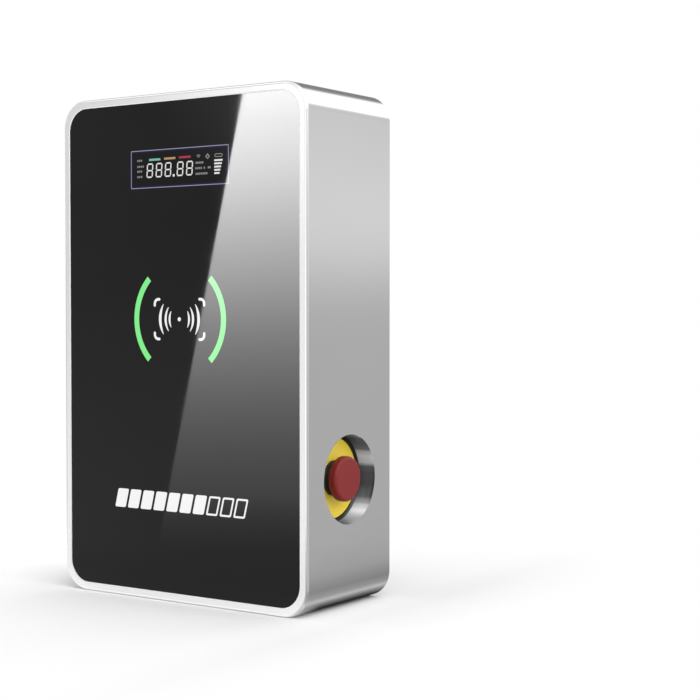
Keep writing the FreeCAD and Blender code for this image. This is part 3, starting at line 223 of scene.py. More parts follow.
streakNoise = {"detail": 4, "rough": 0.6}
metals = {
    "zincPlate": {"colour": (0.56, 0.56, 0.53), "rough": (0.3, 0.42), "grain": 260, "depth": 2e-5},
    "chromePlate": {"colour": (0.78, 0.78, 0.79), "rough": (0.12, 0.2), "grain": 700, "depth": 4e-6},
    "brass": {"colour": (0.66, 0.45, 0.17), "rough": (0.24, 0.34), "grain": 500},
    "springWire": {"colour": (0.46, 0.46, 0.47), "rough": (0.25, 0.35), "grain": 900},
}


def makeMetal(name, colour, rough, grain, depth=1e-5, cloud=14, drift=0.03):
    shade = Shade(name)
    shade.fix(Metallic=1.0)
    streak = shade.noise(grain, **streakNoise)
    shade.join("Base Color", shade.drift(shade.noise(cloud, detail=2), colour, drift))
    shade.join("Roughness", shade.spread(streak, *rough))
    shade.join("Normal", shade.bump(streak, depth))
    return shade.material


cup = {
    "paintedBands": ((-180, 0.12), (-150, 0.5), (-120, 0.12), (-80, 0.30), (-64, 0.34), (-52, 0.32), (-43, 0.20),
               (-36, 0.09), (-28, 0.022), (-14, 0.028), (0, 0.05), (10, 0.10), (18, 0.75), (26, 0.95),
               (32, 0.75), (38, 0.24), (48, 0.19), (58, 0.22), (70, 0.8), (95, 0.8), (120, 0.12), (150, 0.5),
               (180, 0.12)),  # degrees round the axis, and the grey of the painted reflection bands on the turned wall there
    "rough": 0.3, "lean": 0.7, "groove": (2600, 40, 40), "grooveDepth": 4e-6, "grooveTone": (0.3, 0.3, 0.3),
    "grooveShare": 0.12, "floorRise": 2.4, "shadeFloorColour": (0.002, 0.002, 0.002), "lipReach": 34.6,
    "edge": 0.1,
}
cupLow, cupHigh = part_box("stop_cup")
cupCentre = (cupLow + cupHigh) / 2


def cupOffset(shade):
    # how far a point is from the middle of the cup
    inputs = {0: shade.place, 1: cupCentre}
    return shade.parts(shade.out("ShaderNodeVectorMath", inputs, operation="SUBTRACT"))


def paintedReflectionBands(shade, offset):
    # painted reflection: bright and dark bands fixed round the axis of a turned wall
    turn = shade.maths("ARCTAN2", offset["Z"], offset["Y"])
    stops = [((angle + 180) / 360, level) for angle, level in cup["paintedBands"]]
    return shade.ramp(shade.spread(turn, 0, 1, -pi, pi), stops, "EASE")


def leanOut(shade, amount):
    # a turned wall's open groove flanks face out of the hole
    outward = shade.out("ShaderNodeCombineXYZ", {0: amount})
    flank = shade.add("ShaderNodeNewGeometry").outputs["Normal"]
    flank = shade.out("ShaderNodeVectorMath", {0: flank, 1: outward})
    return shade.out("ShaderNodeVectorMath", {0: flank}, operation="NORMALIZE")


def makeCupMetal():
    # turned wall with painted reflection bands, and the floor round the legend plate painted near black as
    # shade
    shade = Shade("cupMetal")
    shade.fix(Roughness=cup["rough"])
    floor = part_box("stop_legend")[0].x + cup["floorRise"] * mm
    onShadedFloor = shade.spread(shade.parts(shade.place)["X"], 1, 0, floor, floor + cup["edge"] * mm)
    groove = shade.noise(cup["groove"], **streakNoise)
    paintedBands = paintedReflectionBands(shade, cupOffset(shade))
    # the turned wall's colour is the painted reflection bands, mixed a little towards grey along the grooves
    wall = shade.blend(shade.spread(groove, 0, cup["grooveShare"]), paintedBands, cup["grooveTone"])
    # painted shade: the floor ring round the legend plate is near black and not metallic
    shade.join("Base Color", shade.blend(onShadedFloor, wall, cup["shadeFloorColour"]))
    shade.join("Metallic", shade.spread(onShadedFloor, 1, 0, 0, 1))
    shade.join("Normal", shade.bump(groove, cup["grooveDepth"], leanOut(shade, cup["lean"])))
    return shade.material


housing = {
    "colour": (0.665, 0.665, 0.675), "rough": (0.11, 0.15), "brush": (24, 24, 5200), "brushDepth": 3e-6,
    "cloud": (5, 5, 7), "drift": 0.02,
    "rimPaintedLightColour": (0.86, 0.86, 0.87), "rimRough": 0.2, "rimDepth": 2.4, "rimBlend": 0.4,
}


def makeHousingMetal():
    # satin sides with a faint brush, a rougher rim round the glass whose lighter colour is painted light, and
    # painted reflection bands on the lip round the cup
    shade = Shade("housingMetal")
    shade.fix(Metallic=1.0)
    streak = shade.noise(housing["brush"], **streakNoise)
    parts = shade.parts(shade.place)
    rimBack, rimBlend = lowest.y + housing["rimDepth"] * mm, housing["rimBlend"] * mm
    onRim = shade.spread(parts["Y"], 1, 0, rimBack - rimBlend, rimBack + rimBlend)
    offset = cupOffset(shade)
    squares = [shade.times(offset[axis], offset[axis]) for axis in ("Y", "Z")]
    reach = shade.maths("SQRT", shade.maths("ADD", *squares))
    lipEdge = cup["lipReach"] * mm
    onLip = shade.spread(reach, 1, 0, lipEdge, lipEdge + cup["edge"] * mm)
    onLip = shade.times(onLip, shade.spread(parts["X"], 0, 1, 0, mm))  # on the right side only
    side = shade.drift(shade.noise(housing["cloud"], detail=2), housing["colour"], housing["drift"])
    # painted reflection: the lip round the cup takes the bands of the cup wall
    side = shade.blend(onLip, side, paintedReflectionBands(shade, offset))
    # painted light: the front rim is lighter than the sides of the same metal
    shade.join("Base Color", shade.blend(onRim, side, housing["rimPaintedLightColour"]))
    sideRough = shade.mix(onLip, shade.spread(streak, *housing["rough"]), cup["rough"])
    shade.join("Roughness", shade.mix(onRim, sideRough, housing["rimRough"]))
    flank = leanOut(shade, shade.times(onLip, cup["lean"]))
    shade.join("Normal", shade.bump(streak, housing["brushDepth"], flank))
    return shade.material


coatings = {
    "sheetPaint": {"colour": (0.052, 0.052, 0.056), "rough": (0.42, 0.52), "pebble": 1500},
    "bracketPaint": {"colour": (0.024, 0.024, 0.027), "rough": (0.4, 0.5), "pebble": 1300},
    "studPaint": {"colour": (0.03, 0.03, 0.033), "rough": (0.36, 0.48), "pebble": 1300, "depth": 2e-5},
    "blackMoulding": {"colour": (0.018, 0.018, 0.019), "rough": (0.42, 0.56), "pebble": 2200},
    "greyMoulding": {"colour": (0.42, 0.43, 0.44), "rough": (0.4, 0.52), "pebble": 2200, "depth": 2e-5},
    "glandNylon": {"colour": (0.026, 0.026, 0.028), "rough": (0.34, 0.48), "pebble": 1800},
    "blackRubber": {"colour": (0.014, 0.014, 0.014), "rough": (0.7, 0.85), "pebble": 1200, "depth": 4e-5},
    # painted highlight: the pale band along the glass's edge
    "paleSealant": {"colour": (0.74, 0.74, 0.75), "rough": (0.45, 0.6), "pebble": 1200, "depth": 1e-5},
    "yellowPlastic": {"colour": (0.93, 0.70, 0.055), "rough": (0.34, 0.44), "pebble": 900, "depth": 1e-5},
    "redPlastic": {"colour": (0.181, 0.0155, 0.0165), "rough": (0.38, 0.5), "pebble": 1000, "depth": 1.5e-5,
                   "level": 0.2},
    "boardLacquer": {"colour": (0.02, 0.13, 0.055), "rough": (0.25, 0.4), "pebble": 400},
    "guidePlastic": {"colour": (0.42, 0.86, 0.48), "rough": (0.2, 0.3), "pebble": 600, "depth": 1e-5},
}


def makeCoating(name, colour, rough, pebble, depth=3e-5, level=0.5, cloud=11, drift=0.08):
    # fine peel or spark texture, and a slow change in tone
    shade = Shade(name)
    shade.fix(Specular_IOR_Level=level)
    peel = shade.noise(pebble, detail=2, rough=0.45)
    shade.join("Base Color", shade.drift(shade.noise(cloud, detail=3), colour, drift))
    shade.join("Roughness", shade.spread(peel, *rough))
    shade.join("Normal", shade.bump(peel, depth))
    return shade.material


glass = {"colour": (0.0032, 0.0032, 0.0034), "drift": 0.15, "level": 0.20, "rough": (0.012, 0.028),
         "wipe": (6, 6, 22), "wipeDetail": 4}


def glassShade(name):
    # the gloss of the glass with its faint wipe marks
    shade = Shade(name)
    shade.fix(IOR=1.5, Specular_IOR_Level=glass["level"])
    wipe = shade.noise(glass["wipe"], glass["wipeDetail"])
    shade.join("Roughness", shade.spread(wipe, *glass["rough"]))
    return shade, wipe


def makeDarkGlass():
    shade, wipe = glassShade("darkGlass")
    shade.join("Base Color", shade.drift(wipe, glass["colour"], glass["drift"]))
    return shade.material


prints = {
    "printWhite": {"colour": (0.93, 0.93, 0.93), "glow": 0.9},
    "lampGreen": {"colour": (0.205, 0.80, 0.245), "glow": 1.0},
    "digitWhite": {"colour": (0.82, 0.80, 0.79), "glow": 0.9},
    "barTeal": {"colour": (0.17, 0.47, 0.37), "glow": 0.95},
    "barAmber": {"colour": (0.47, 0.32, 0.15), "glow": 0.8},
    "barCrimson": {"colour": (0.40, 0.032, 0.075), "glow": 0.9},
    "markGrey": {"colour": (0.25, 0.25, 0.25), "glow": 0.9},
    "windowLine": {"colour": (0.36, 0.355, 0.50), "glow": 0.85},
    "windowBand": {"colour": (0.0085, 0.0075, 0.045), "glow": 0.8},
    "windowPanel": {"colour": (0.0032, 0.0034, 0.0036), "glow": 0.4},
}
printSpeck = {"perMetre": 1500, "lit": (0.96, 1.0), "unlit": (0.06, 0.08)}


def makePrint(name, colour, glow):
    # a lit or printed mark with the gloss of the glass
    shade = glassShade(name)[0]
    shade.fix(Emission_Strength=glow)
    speck = shade.spread(shade.noise(printSpeck["perMetre"], detail=2), 0, 1)
    for label, shares in (("Emission Color", "lit"), ("Base Color", "unlit")):
        shade.join(label, shade.blend(speck, *[tint(colour, share) for share in printSpeck[shares]]))
    return shade.material


materials = {}
for make, looks in ((makeMetal, metals), (makeCoating, coatings), (makePrint, prints)):
    materials.update({name: make(name, **look) for name, look in looks.items()})
for make in (makeHousingMetal, makeDarkGlass, makeCupMetal):
    material = make()
    materials[material.name] = material

nodeFinish = {
    "housingMetal": "shell",
    "darkGlass": "front_glass",
    "cupMetal": "stop_cup",
    "zincPlate": "carrier_nuts front_board_screws stud_nuts chassis_posts chassis_plate chassis_screws "
                 "din_rail board_posts",
    "chromePlate": "back_screws",
    "brass": "earth_stud",
    "springWire": "stop_spring",
    "sheetPaint": "back_plate",
    "bracketPaint": "wall_bracket",
    "studPaint": "hanging_studs",
    "blackMoulding": "front_carrier display_module stop_collar stop_nut stop_plunger current_ring "
                     "power_supply",
    "greyMoulding": "stop_contact_block contactor leakage_module energy_meter terminal_block",
    "glandNylon": "large_gland_body large_gland_cap small_gland_body small_gland_cap gland_locknuts",
    "blackRubber": "glass_seal stop_gasket back_gasket large_gland_insert small_gland_insert gland_washers",
    "yellowPlastic": "stop_legend",
    "redPlastic": "stop_head",
    "boardLacquer": "led_board reader_board control_board",
    "guidePlastic": "light_guides",
}


def paintNodes():
    for finish, names in nodeFinish.items():
        for name in names.split():
            mesh = frame["nodes"][name].data
            mesh.materials.clear()
            mesh.materials.append(materials[finish])


paintNodes()
print("stage: materials on", sum(len(names.split()) for names in nodeFinish.values()), "CAD nodes")


# Building pieces

def finishPiece(name, mesh, finish, slot, replaced=()):
    mesh.name = name
    mesh.materials.clear()
    mesh.materials.append(materials[finish])
    piece = newObject(name, mesh)
    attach(piece, "charger")
    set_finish(piece, slot)
    if replaced:
        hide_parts(*replaced)
    return piece


def crisp(mesh):
    # smooth shading that stops at real edges
    mesh.shade_smooth()
    mesh.set_sharp_from_angle(angle=sharpAngle)
    return mesh


def meshFrom(work):
    bmesh.ops.recalc_face_normals(work, faces=work.faces)
    mesh = bpy.data.meshes.new("work")
    work.to_mesh(mesh)
    work.free()
    return crisp(mesh)


def mergedCopy(node):
    # a CAD node as a bmesh with its doubles merged
    work = bmesh.new()
    work.from_mesh(frame["nodes"][node].data)
    bmesh.ops.remove_doubles(work, verts=work.verts, dist=weld)
    return work


def islandBoxes(node):
    # the lowest and highest corner of each loose piece of a CAD node
    work = mergedCopy(node)
    left, boxes = set(work.verts), []
    while left:
        grown = [left.pop()]
        for vert in grown:
            near = {edge.other_vert(vert) for edge in vert.link_edges} & left
            left -= near
            grown.extend(near)
        sides = list(zip(*[vert.co for vert in grown]))
        boxes.append((Vector([min(side) for side in sides]), Vector([max(side) for side in sides])))
    work.free()
    return sorted(boxes, key=lambda box: tuple(box[0]))


# Geometry Nodes trees for what repeats

smoothness = {"ribSides": 10, "coilSteps": 28, "wireSides": 10, "cornerSteps": 5}


class Recipe(Tree):
    def __init__(self, name, **sizes):  # sizes name the tree's inputs, each with its kind of socket
        super().__init__(bpy.data.node_groups.new(name, "GeometryNodeTree"))
        socket = self.tree.interface.new_socket
        self.labels = {size: socket(size, in_out="INPUT", socket_type="NodeSocket" + kind).identifier
                       for size, kind in {**sizes, "finish": "Material"}.items()}
        socket("geometry", in_out="OUTPUT", socket_type="NodeSocketGeometry")
        self.given = self.add("NodeGroupInput").outputs

    def copies(self, points, shape, **inputs):
        labels = {"Points": points, "Instance": shape}
        labels.update({name.capitalize(): value for name, value in inputs.items()})
        return self.out("GeometryNodeInstanceOnPoints", labels)

    def move(self, geometry, place, turn=(0, 0, 0)):
        inputs = {"Geometry": geometry, "Translation": place, "Rotation": turn}
        return self.out("GeometryNodeTransform", inputs)

    def together(self, *parts):
        joined = self.add("GeometryNodeJoinGeometry")
        for part in parts:
            self.tree.links.new(part, joined.inputs[0])
        return joined.outputs[0]

    def vector(self, across, ahead=0.0, up=0.0):
        return self.out("ShaderNodeCombineXYZ", {0: across, 1: ahead, 2: up})

    def close(self, geometry):
        whole = self.out("GeometryNodeRealizeInstances", {0: geometry})
        inputs = {"Geometry": whole, "Material": self.given["finish"]}
        self.add("NodeGroupOutput", {0: self.out("GeometryNodeSetMaterial", inputs)})
        return self

    def grow(self, points=None, **sizes):
        # runs the tree on a passing object and keeps the plain mesh
        holder = newObject("growing", points or bpy.data.meshes.new("growing"))
        modifier = holder.modifiers.new("recipe", "NODES")
        modifier.node_group = self.tree
        for size, value in sizes.items():
            modifier[self.labels[size]] = value
        depsgraph = bpy.context.evaluated_depsgraph_get()
        mesh = bpy.data.meshes.new_from_object(holder.evaluated_get(depsgraph), depsgraph=depsgraph)
        bpy.data.objects.remove(holder)
        return crisp(mesh)


def pointRecipe():
    # one shape at each vertex of the given mesh
    recipe = Recipe("copiesAtPoints", points="Geometry", shape="Object")
    shape = recipe.add("GeometryNodeObjectInfo", {"Object": recipe.given["shape"]}).outputs["Geometry"]
    return recipe.close(recipe.copies(recipe.given["points"], shape))


def ribRecipe():
    # upright ribs round a cap
    recipe = Recipe("ribRing", count="Int", radius="Float", width="Float", length="Float", centre="Vector")
    given = recipe.given
    inputs = {"Vertices": smoothness["ribSides"], "Radius": recipe.times(given["width"], 0.5),
              "Depth": given["length"]}
    rib = recipe.out("GeometryNodeMeshCylinder", inputs)
    inputs = {"Vertices": given["count"], "Radius": given["radius"]}
    ring = recipe.out("GeometryNodeMeshCircle", inputs)
    return recipe.close(recipe.move(recipe.copies(ring, rib), given["centre"]))


def coilRecipe():
    # a round wire coil along the X axis from its place
    recipe = Recipe("wireCoil", turns="Float", radius="Float", length="Float", wire="Float", place="Vector")
    given = recipe.given
    inputs = {"Resolution": smoothness["coilSteps"], "Rotations": given["turns"], "Height": given["length"],
              "Start Radius": given["radius"], "End Radius": given["radius"]}
    path = recipe.out("GeometryNodeCurveSpiral", inputs)
    inputs = {"Resolution": smoothness["wireSides"], "Radius": given["wire"]}
    section = recipe.out("GeometryNodeCurvePrimitiveCircle", inputs)
    wire = recipe.add("GeometryNodeCurveToMesh", {"Curve": path, "Profile Curve": section, "Fill Caps": True})
    return recipe.close(recipe.move(wire.outputs[0], given["place"], (0, pi / 2, 0)))


def cellRecipe():
    # a row of leaning plates with round corners: the first ones full, the rest open frames
    recipe = Recipe("cellRow", count="Int", full="Int", step="Vector", width="Float", height="Float",
                    corner="Float", line="Float", lean="Float", growth="Float", depth="Float", place="Vector")
    given = recipe.given
    sizes = ("width", "height")
    innerCorner = recipe.times(given["corner"], 0.4)

    def outline(inset, corner):
        sides = {size.capitalize(): recipe.maths("SUBTRACT", given[size], inset) for size in sizes}
        inputs = {"Curve": recipe.out("GeometryNodeCurvePrimitiveQuadrilateral", sides),
                  "Radius": corner, "Count": smoothness["cornerSteps"]}
        return recipe.out("GeometryNodeFilletCurve", inputs, mode="POLY")

    def plate(edges):
        face = recipe.out("GeometryNodeFillCurve", {"Curve": edges})
        inputs = {"Mesh": face, "Offset Scale": given["depth"], "Individual": False}
        front = recipe.out("GeometryNodeExtrudeMesh", inputs)
        back = recipe.out("GeometryNodeFlipFaces", {0: face})
        inputs = {"Geometry": recipe.together(front, back), "Distance": weld}
        shut = recipe.out("GeometryNodeMergeByDistance", inputs)
        leaning = recipe.out("GeometryNodeSetPosition", {"Geometry": shut, "Offset": lean})
        half = [recipe.times(given[size], 0.5) for size in sizes]
        return recipe.move(leaning, recipe.vector(*half))

    up = recipe.parts(recipe.out("GeometryNodeInputPosition"))["Y"]
    lean = recipe.vector(recipe.times(up, given["lean"]))
    whole = outline(0.0, given["corner"])
    hollow = recipe.together(whole, outline(recipe.times(given["line"], 2.0), innerCorner))
    inputs = {"Count": given["count"], "Offset": given["step"]}
    points = recipe.out("GeometryNodeMeshLine", inputs)
    index = recipe.out("GeometryNodeInputIndex")
    scale = recipe.vector(recipe.maths("MULTIPLY_ADD", index, given["growth"], 1.0), 1.0, 1.0)
    rows = []
    for edges, test in ((whole, "LESS_THAN"), (hollow, "GREATER_EQUAL")):
        inputs = {2: index, 3: given["full"]}
        chosen = recipe.out("FunctionNodeCompare", inputs, data_type="INT", operation=test)
        rows.append(recipe.copies(points, plate(edges), selection=chosen, scale=scale))
    return recipe.close(recipe.move(recipe.together(*rows), given["place"], (pi / 2, 0, 0)))


copiesAtPoints, ribRing, wireCoil, cellRow = pointRecipe(), ribRecipe(), coilRecipe(), cellRecipe()


def finishCopies(name, spots, shape, finish, slot, replaced=()):
    # shape is a bmesh round its own origin, spots are places in metres
    pattern = bpy.data.objects.new("pattern", meshFrom(shape))
    points = bpy.data.meshes.new("points")
    points.from_pydata(spots, [], [])
    mesh = copiesAtPoints.grow(points, shape=pattern, finish=materials[finish])
    bpy.data.objects.remove(pattern)
    finishPiece(name, mesh, finish, slot, replaced)


# Copies of the large parts with broken edges

softening = {"flat": 0.3, "segments": 2}
softParts = {
    "housingShell": ("shell", "housingMetal", "brushed_shell", 0.3),
    "rearPlate": ("back_plate", "sheetPaint", "painted_sheet", 0.3),
    "hangingBracket": ("wall_bracket", "bracketPaint", "painted_bracket", 0.3),
    "largeGlandNut": ("large_gland_body", "glandNylon", "black_gland", 0.4),
    "smallGlandNut": ("small_gland_body", "glandNylon", "black_gland", 0.4),
}


def makeSoftPart(name, node, finish, slot, width):
    # the flat faces are made whole again first, so that the bevel meets only real edges
    work = mergedCopy(node)
    flat = radians(softening["flat"])
    bmesh.ops.dissolve_limit(work, angle_limit=flat, verts=work.verts, edges=work.edges)
    spots = [vert.co.copy() for vert in work.verts]
    work.verts.index_update()
    faces = [[vert.index for vert in face.verts] for face in work.faces]
    work.free()
    mesh = bpy.data.meshes.new(name)
    mesh.from_pydata(spots, [], faces)
    mesh.shade_smooth()
    piece = newObject(name, mesh)
    edge = piece.modifiers.new("brokenEdges", "BEVEL")
    edge.width = width * mm
    edge.segments = softening["segments"]
    edge.limit_method = "ANGLE"
    edge.angle_limit = sharpAngle
    edge.harden_normals = True
    edge.use_clamp_overlap = True
    piece.modifiers.new("evenNormals", "WEIGHTED_NORMAL").keep_sharp = True
    depsgraph = bpy.context.evaluated_depsgraph_get()
    result = bpy.data.meshes.new_from_object(piece.evaluated_get(depsgraph), preserve_all_data_layers=True,
                                             depsgraph=depsgraph)
    bpy.data.objects.remove(piece)
    finishPiece(name, result, finish, slot, (node,))


for name, settings in softParts.items():
    makeSoftPart(name, *settings)
print("stage: broken edges on", ", ".join(softParts))


# Screws, grip ribs and the return spring

plateScrew = {
    "sides": 24, "shank": 1.5, "length": 13, "tip": (0.9, 0.8), "socket": 1.0, "socketDepth": 1.2,
    "socketSink": 0.06, "cone": (0.25, 0.3),
    "crown": ((1, 0.2), (0.97, 0.36), (0.88, 0.52), (0.76, 0.68), (0.62, 0.84), (0.5, 1.0)),
}  # tip and cone are a radius and a length, the crown is in shares of the head's radius and rise


def addTurned(work, rings, sides):
    # each ring is a radius, a height along +Y and whether it is a hexagon across that radius
    rows = []
    for radius, height, hexagonal in rings:
        row = []
        for step in range(sides):
            turn = 2 * pi * step / sides
            reach = radius / cos(turn % (pi / 3) - pi / 6) if hexagonal else radius
            spot = (reach * cos(turn) * mm, height * mm, reach * sin(turn) * mm)
            row.append(work.verts.new(spot))
        rows.append(row)
    for low, high in zip(rows, rows[1:]):
        for step in range(sides):
            after = (step + 1) % sides
            work.faces.new((low[step], low[after], high[after], high[step]))
    work.faces.new(rows[0])
    work.faces.new(rows[-1])


def makePlateScrews():
    # button heads with a hexagon socket
    boxes = islandBoxes("back_screws")
    low, high = boxes[0]
    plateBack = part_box("back_plate")[1].y
    head, rise = (high.x - low.x) / 2 / mm, (high.y - plateBack) / mm
    shank, end, socket = plateScrew["shank"], -plateScrew["length"], plateScrew["socket"]
    tip, cone = plateScrew["tip"], plateScrew["cone"]
    floor = rise - plateScrew["socketDepth"]
    rings = [(tip[0], end, False), (shank, end + tip[1], False), (shank, 0, False), (head, 0, False)]
    rings += [(head * across, rise * up, False) for across, up in plateScrew["crown"]]
    rings += [(socket, rise - plateScrew["socketSink"], True), (socket, floor, True)]
    rings += [(cone[0], floor - cone[1], False)]
    work = bmesh.new()
    addTurned(work, rings, plateScrew["sides"])
    spots = [((low.x + high.x) / 2, plateBack, (low.z + high.z) / 2) for low, high in boxes]
    finishCopies("plateScrews", spots, work, "chromePlate", "bright_screws", ("back_screws",))


glandRibs = {
    "large": {"count": 30, "width": 2.0, "proud": 0.55, "share": (0.32, 0.95)},
    "small": {"count": 24, "width": 1.8, "proud": 0.5, "share": (0.30, 0.93)},
}


def makeGlandRibs():
    for size, ribs in glandRibs.items():
        low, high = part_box(size + "_gland_cap")
        centre = (low + high) / 2
        bottom, top = (low.z + (high.z - low.z) * share for share in ribs["share"])
        radius = (high.x - low.x) / 2 + (ribs["proud"] - ribs["width"] / 2) * mm
        mesh = ribRing.grow(count=ribs["count"], radius=radius, width=ribs["width"] * mm, length=top - bottom,
                            centre=(centre.x, centre.y, (bottom + top) / 2), finish=materials["glandNylon"])
        finishPiece(size + "GlandRibs", mesh, "glandNylon", "black_gland")


returnSpring = {"turns": 5.0, "wire": 0.45, "seat": 86.5, "travel": 4}


def makeReturnSpring():
    low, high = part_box("stop_spring")
    centre = (low + high) / 2
    wire = returnSpring["wire"] * mm
    mesh = wireCoil.grow(turns=returnSpring["turns"], radius=(high.y - low.y) / 2 - wire, wire=wire,
                         length=high.x - low.x - 2 * wire, place=(low.x + wire, centre.y, centre.z),
                         finish=materials["springWire"])
    piece = finishPiece("returnSpring", mesh, "springWire", "spring_steel", replaced=("stop_spring",))
    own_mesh(piece)


makePlateScrews()
makeGlandRibs()
makeReturnSpring()
print("stage: screws, ribs and spring")


# Printed and lit marks on the glass

glassLow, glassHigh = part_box("front_glass")
glassFront = glassLow.y
marks = {"proud": 0.03, "upper": 0.06, "sunk": 0.03, "step": 3}


def addBand(work, outer, inner, closed=False, front=marks["proud"], back=marks["sunk"]):
    # a flat closed band between two lines with as many points each, given across and up in millimetres
    near, far = glassFront - front * mm, glassFront + back * mm
    edges = ((outer, near), (inner, near), (inner, far), (outer, far))
    rows = [[work.verts.new((x * mm, depth, z * mm)) for x, z in line] for line, depth in edges]
    count = len(outer)
    for step in range(count if closed else count - 1):
        after = (step + 1) % count
        for side in range(4):
            low, high = rows[side], rows[(side + 1) % 4]
            work.faces.new((low[step], low[after], high[after], high[step]))
    if not closed:
        for end in (0, -1):
            work.faces.new([row[end] for row in rows])


def addPatch(work, outline, front=marks["proud"], plane=glassFront):
    # a flat closed plate inside one outline
    depths = (plane - front * mm, plane + marks["sunk"] * mm)
    rings = [[work.verts.new((x * mm, depth, z * mm)) for x, z in outline] for depth in depths]
    work.faces.new(rings[0])
    work.faces.new(rings[1][::-1])
    for step in range(len(outline)):
        after = (step + 1) % len(outline)
        work.faces.new((rings[0][step], rings[0][after], rings[1][after], rings[1][step]))


def finishWork(name, work, finish, slot="dark_glass"):
    finishPiece(name, meshFrom(work), finish, slot)


def arcPoints(centre, radius, start, end, steps=None):
    steps = steps or max(4, int(abs(end - start) / marks["step"]))
    turns = [radians(start + (end - start) * step / steps) for step in range(steps + 1)]
    return [(centre[0] + radius * cos(turn), centre[1] + radius * sin(turn)) for turn in turns]


def roundBox(centre, across, up, radius, steps=6):
    points = []
    for quarter in range(4):
        side = 1 if quarter in (0, 3) else -1
        lift = 1 if quarter in (0, 1) else -1
        corner = (centre[0] + side * (across / 2 - radius), centre[1] + lift * (up / 2 - radius))
        points += arcPoints(corner, radius, quarter * 90, quarter * 90 + 90, steps)
    return points


display = {"rise": 341, "across": 99.5, "up": 30, "corner": 0.7, "leastCorner": 0.15, "line": 0.55,
           "band": 1.3, "slant": 4}


def makeWindow():
    line, inside = display["line"], display["line"] + display["band"]

    def ring(inset):
        across, up = (display[side] - 2 * inset for side in ("across", "up"))
        corner = max(display["corner"] - inset, display["leastCorner"])
        return roundBox((0, display["rise"]), across, up, corner)

    for name, finish, outer, inner in (("displayLine", "windowLine", 0, line),
                                       ("displayBand", "windowBand", line, inside)):
        work = bmesh.new()
        addBand(work, ring(outer), ring(inner), closed=True)
        finishWork(name, work, finish)
    work = bmesh.new()
    addPatch(work, ring(inside))
    finishWork("displayPanel", work, "windowPanel")


digits = {"places": (-29.85, -20.3, -10.95, 1.4, 10.9), "base": -6.9, "across": 6.55, "up": 11.3,
          "stroke": 1.05, "gap": 0.2, "point": (-5.2, -6.05, 0.95), "pointCorner": 0.3}


def digitSegments():
    # seven bars of one digit about its own foot, upright
    half, tall, stroke = digits["across"] / 2, digits["up"], digits["stroke"]
    side = half - stroke / 2
    levels = (stroke / 2, tall / 2, tall - stroke / 2)
    flat = [((-side, level), (side, level)) for level in levels]
    upright = [((x, levels[row]), (x, levels[row + 1])) for x in (-side, side) for row in (0, 1)]
    return flat + upright


def segmentOutline(start, end):
    # a bar with pointed ends between two points
    along = Vector(end) - Vector(start)
    half, near, far = digits["stroke"] / 2, digits["gap"], along.length - digits["gap"]
    along.normalize()
    across = Vector((-along.y, along.x))
    shape = ((near, 0), (near + half, -half), (far - half, -half),
             (far, 0), (far - half, half), (near + half, half))
    points = [Vector(start) + along * distance + across * offset for distance, offset in shape]
    return [(point.x, point.y) for point in points]


def slanted(points, foot):
    lean = tan(radians(display["slant"]))
    return [(x + (z - foot) * lean, z) for x, z in points]


def makeDigits():
    work = bmesh.new()
    for start, end in digitSegments():
        addPatch(work, slanted(segmentOutline(start, end), digits["up"] / 2), marks["upper"], 0)
    base = (display["rise"] + digits["base"]) * mm
    spots = [(across * mm, glassFront, base) for across in digits["places"]]
    finishCopies("displayDigits", spots, work, "digitWhite", "dark_glass")
    across, up, radius = digits["point"]
    outline = roundBox((across, display["rise"] + up), 2 * radius, 2 * radius, digits["pointCorner"])
    work = bmesh.new()
    addPatch(work, outline, marks["upper"])
    finishWork("displayPoint", work, "digitWhite")


bars = {"up": 1.7, "corner": 0.4, "places": {"Teal": (-24.75, 7.2, 11.8), "Amber": (-9.2, 7.4, 11.6),
                                             "Crimson": (6.2, 7.6, 12.0)}}


def makeBars():
    for name, (across, up, long) in bars["places"].items():
        work = bmesh.new()
        outline = roundBox((across, display["rise"] + up), long, bars["up"], bars["corner"])
        addPatch(work, outline, marks["upper"])
        finishWork("displayBar" + name, work, "bar" + name)


words = {
    "up": 1.6, "dash": 1.3, "gap": 0.45, "corner": 0.3, "cornerSteps": 3,
    "lines": ((-43.1, 6.2, 5.2), (-43.1, 1.5, 7.0), (-43.1, -2.3, 5.2), (-43.1, -6.6, 5.5), (17.1, 1.7, 7.5),
              (16.7, -2.5, 6.7), (25.1, -2.5, 2.1), (29.2, -2.4, 2.6), (17.1, -6.8, 11.7)),
}


def makeDashes():
    # short dashes stand in for words
    dash, up, gap = words["dash"], words["up"], words["gap"]
    work, spots = bmesh.new(), []
    outline = roundBox((dash / 2, up / 2), dash, up, words["corner"], words["cornerSteps"])
    addPatch(work, outline, marks["upper"], 0)
    for start, base, long in words["lines"]:
        count = max(1, round((long + gap) / (dash + gap)))
        pitch = (long + gap) / count
        height = (display["rise"] + base) * mm
        spots += [((start + step * pitch) * mm, glassFront, height) for step in range(count)]
    finishCopies("displayDashes", spots, work, "markGrey", "dark_glass")


smallMarks = {
    "fan": {"across": 19.9, "up": 5.9, "radii": (1.1, 2.0, 2.9), "line": 0.5, "arc": (45, 135)},
    "diamond": {"across": 29.0, "up": 7.0, "reach": 2.3, "hole": 0.45},
    "oval": {"across": 39.8, "up": 7.25, "size": (8.0, 2.7), "line": 0.6, "flat": 0.01},
}


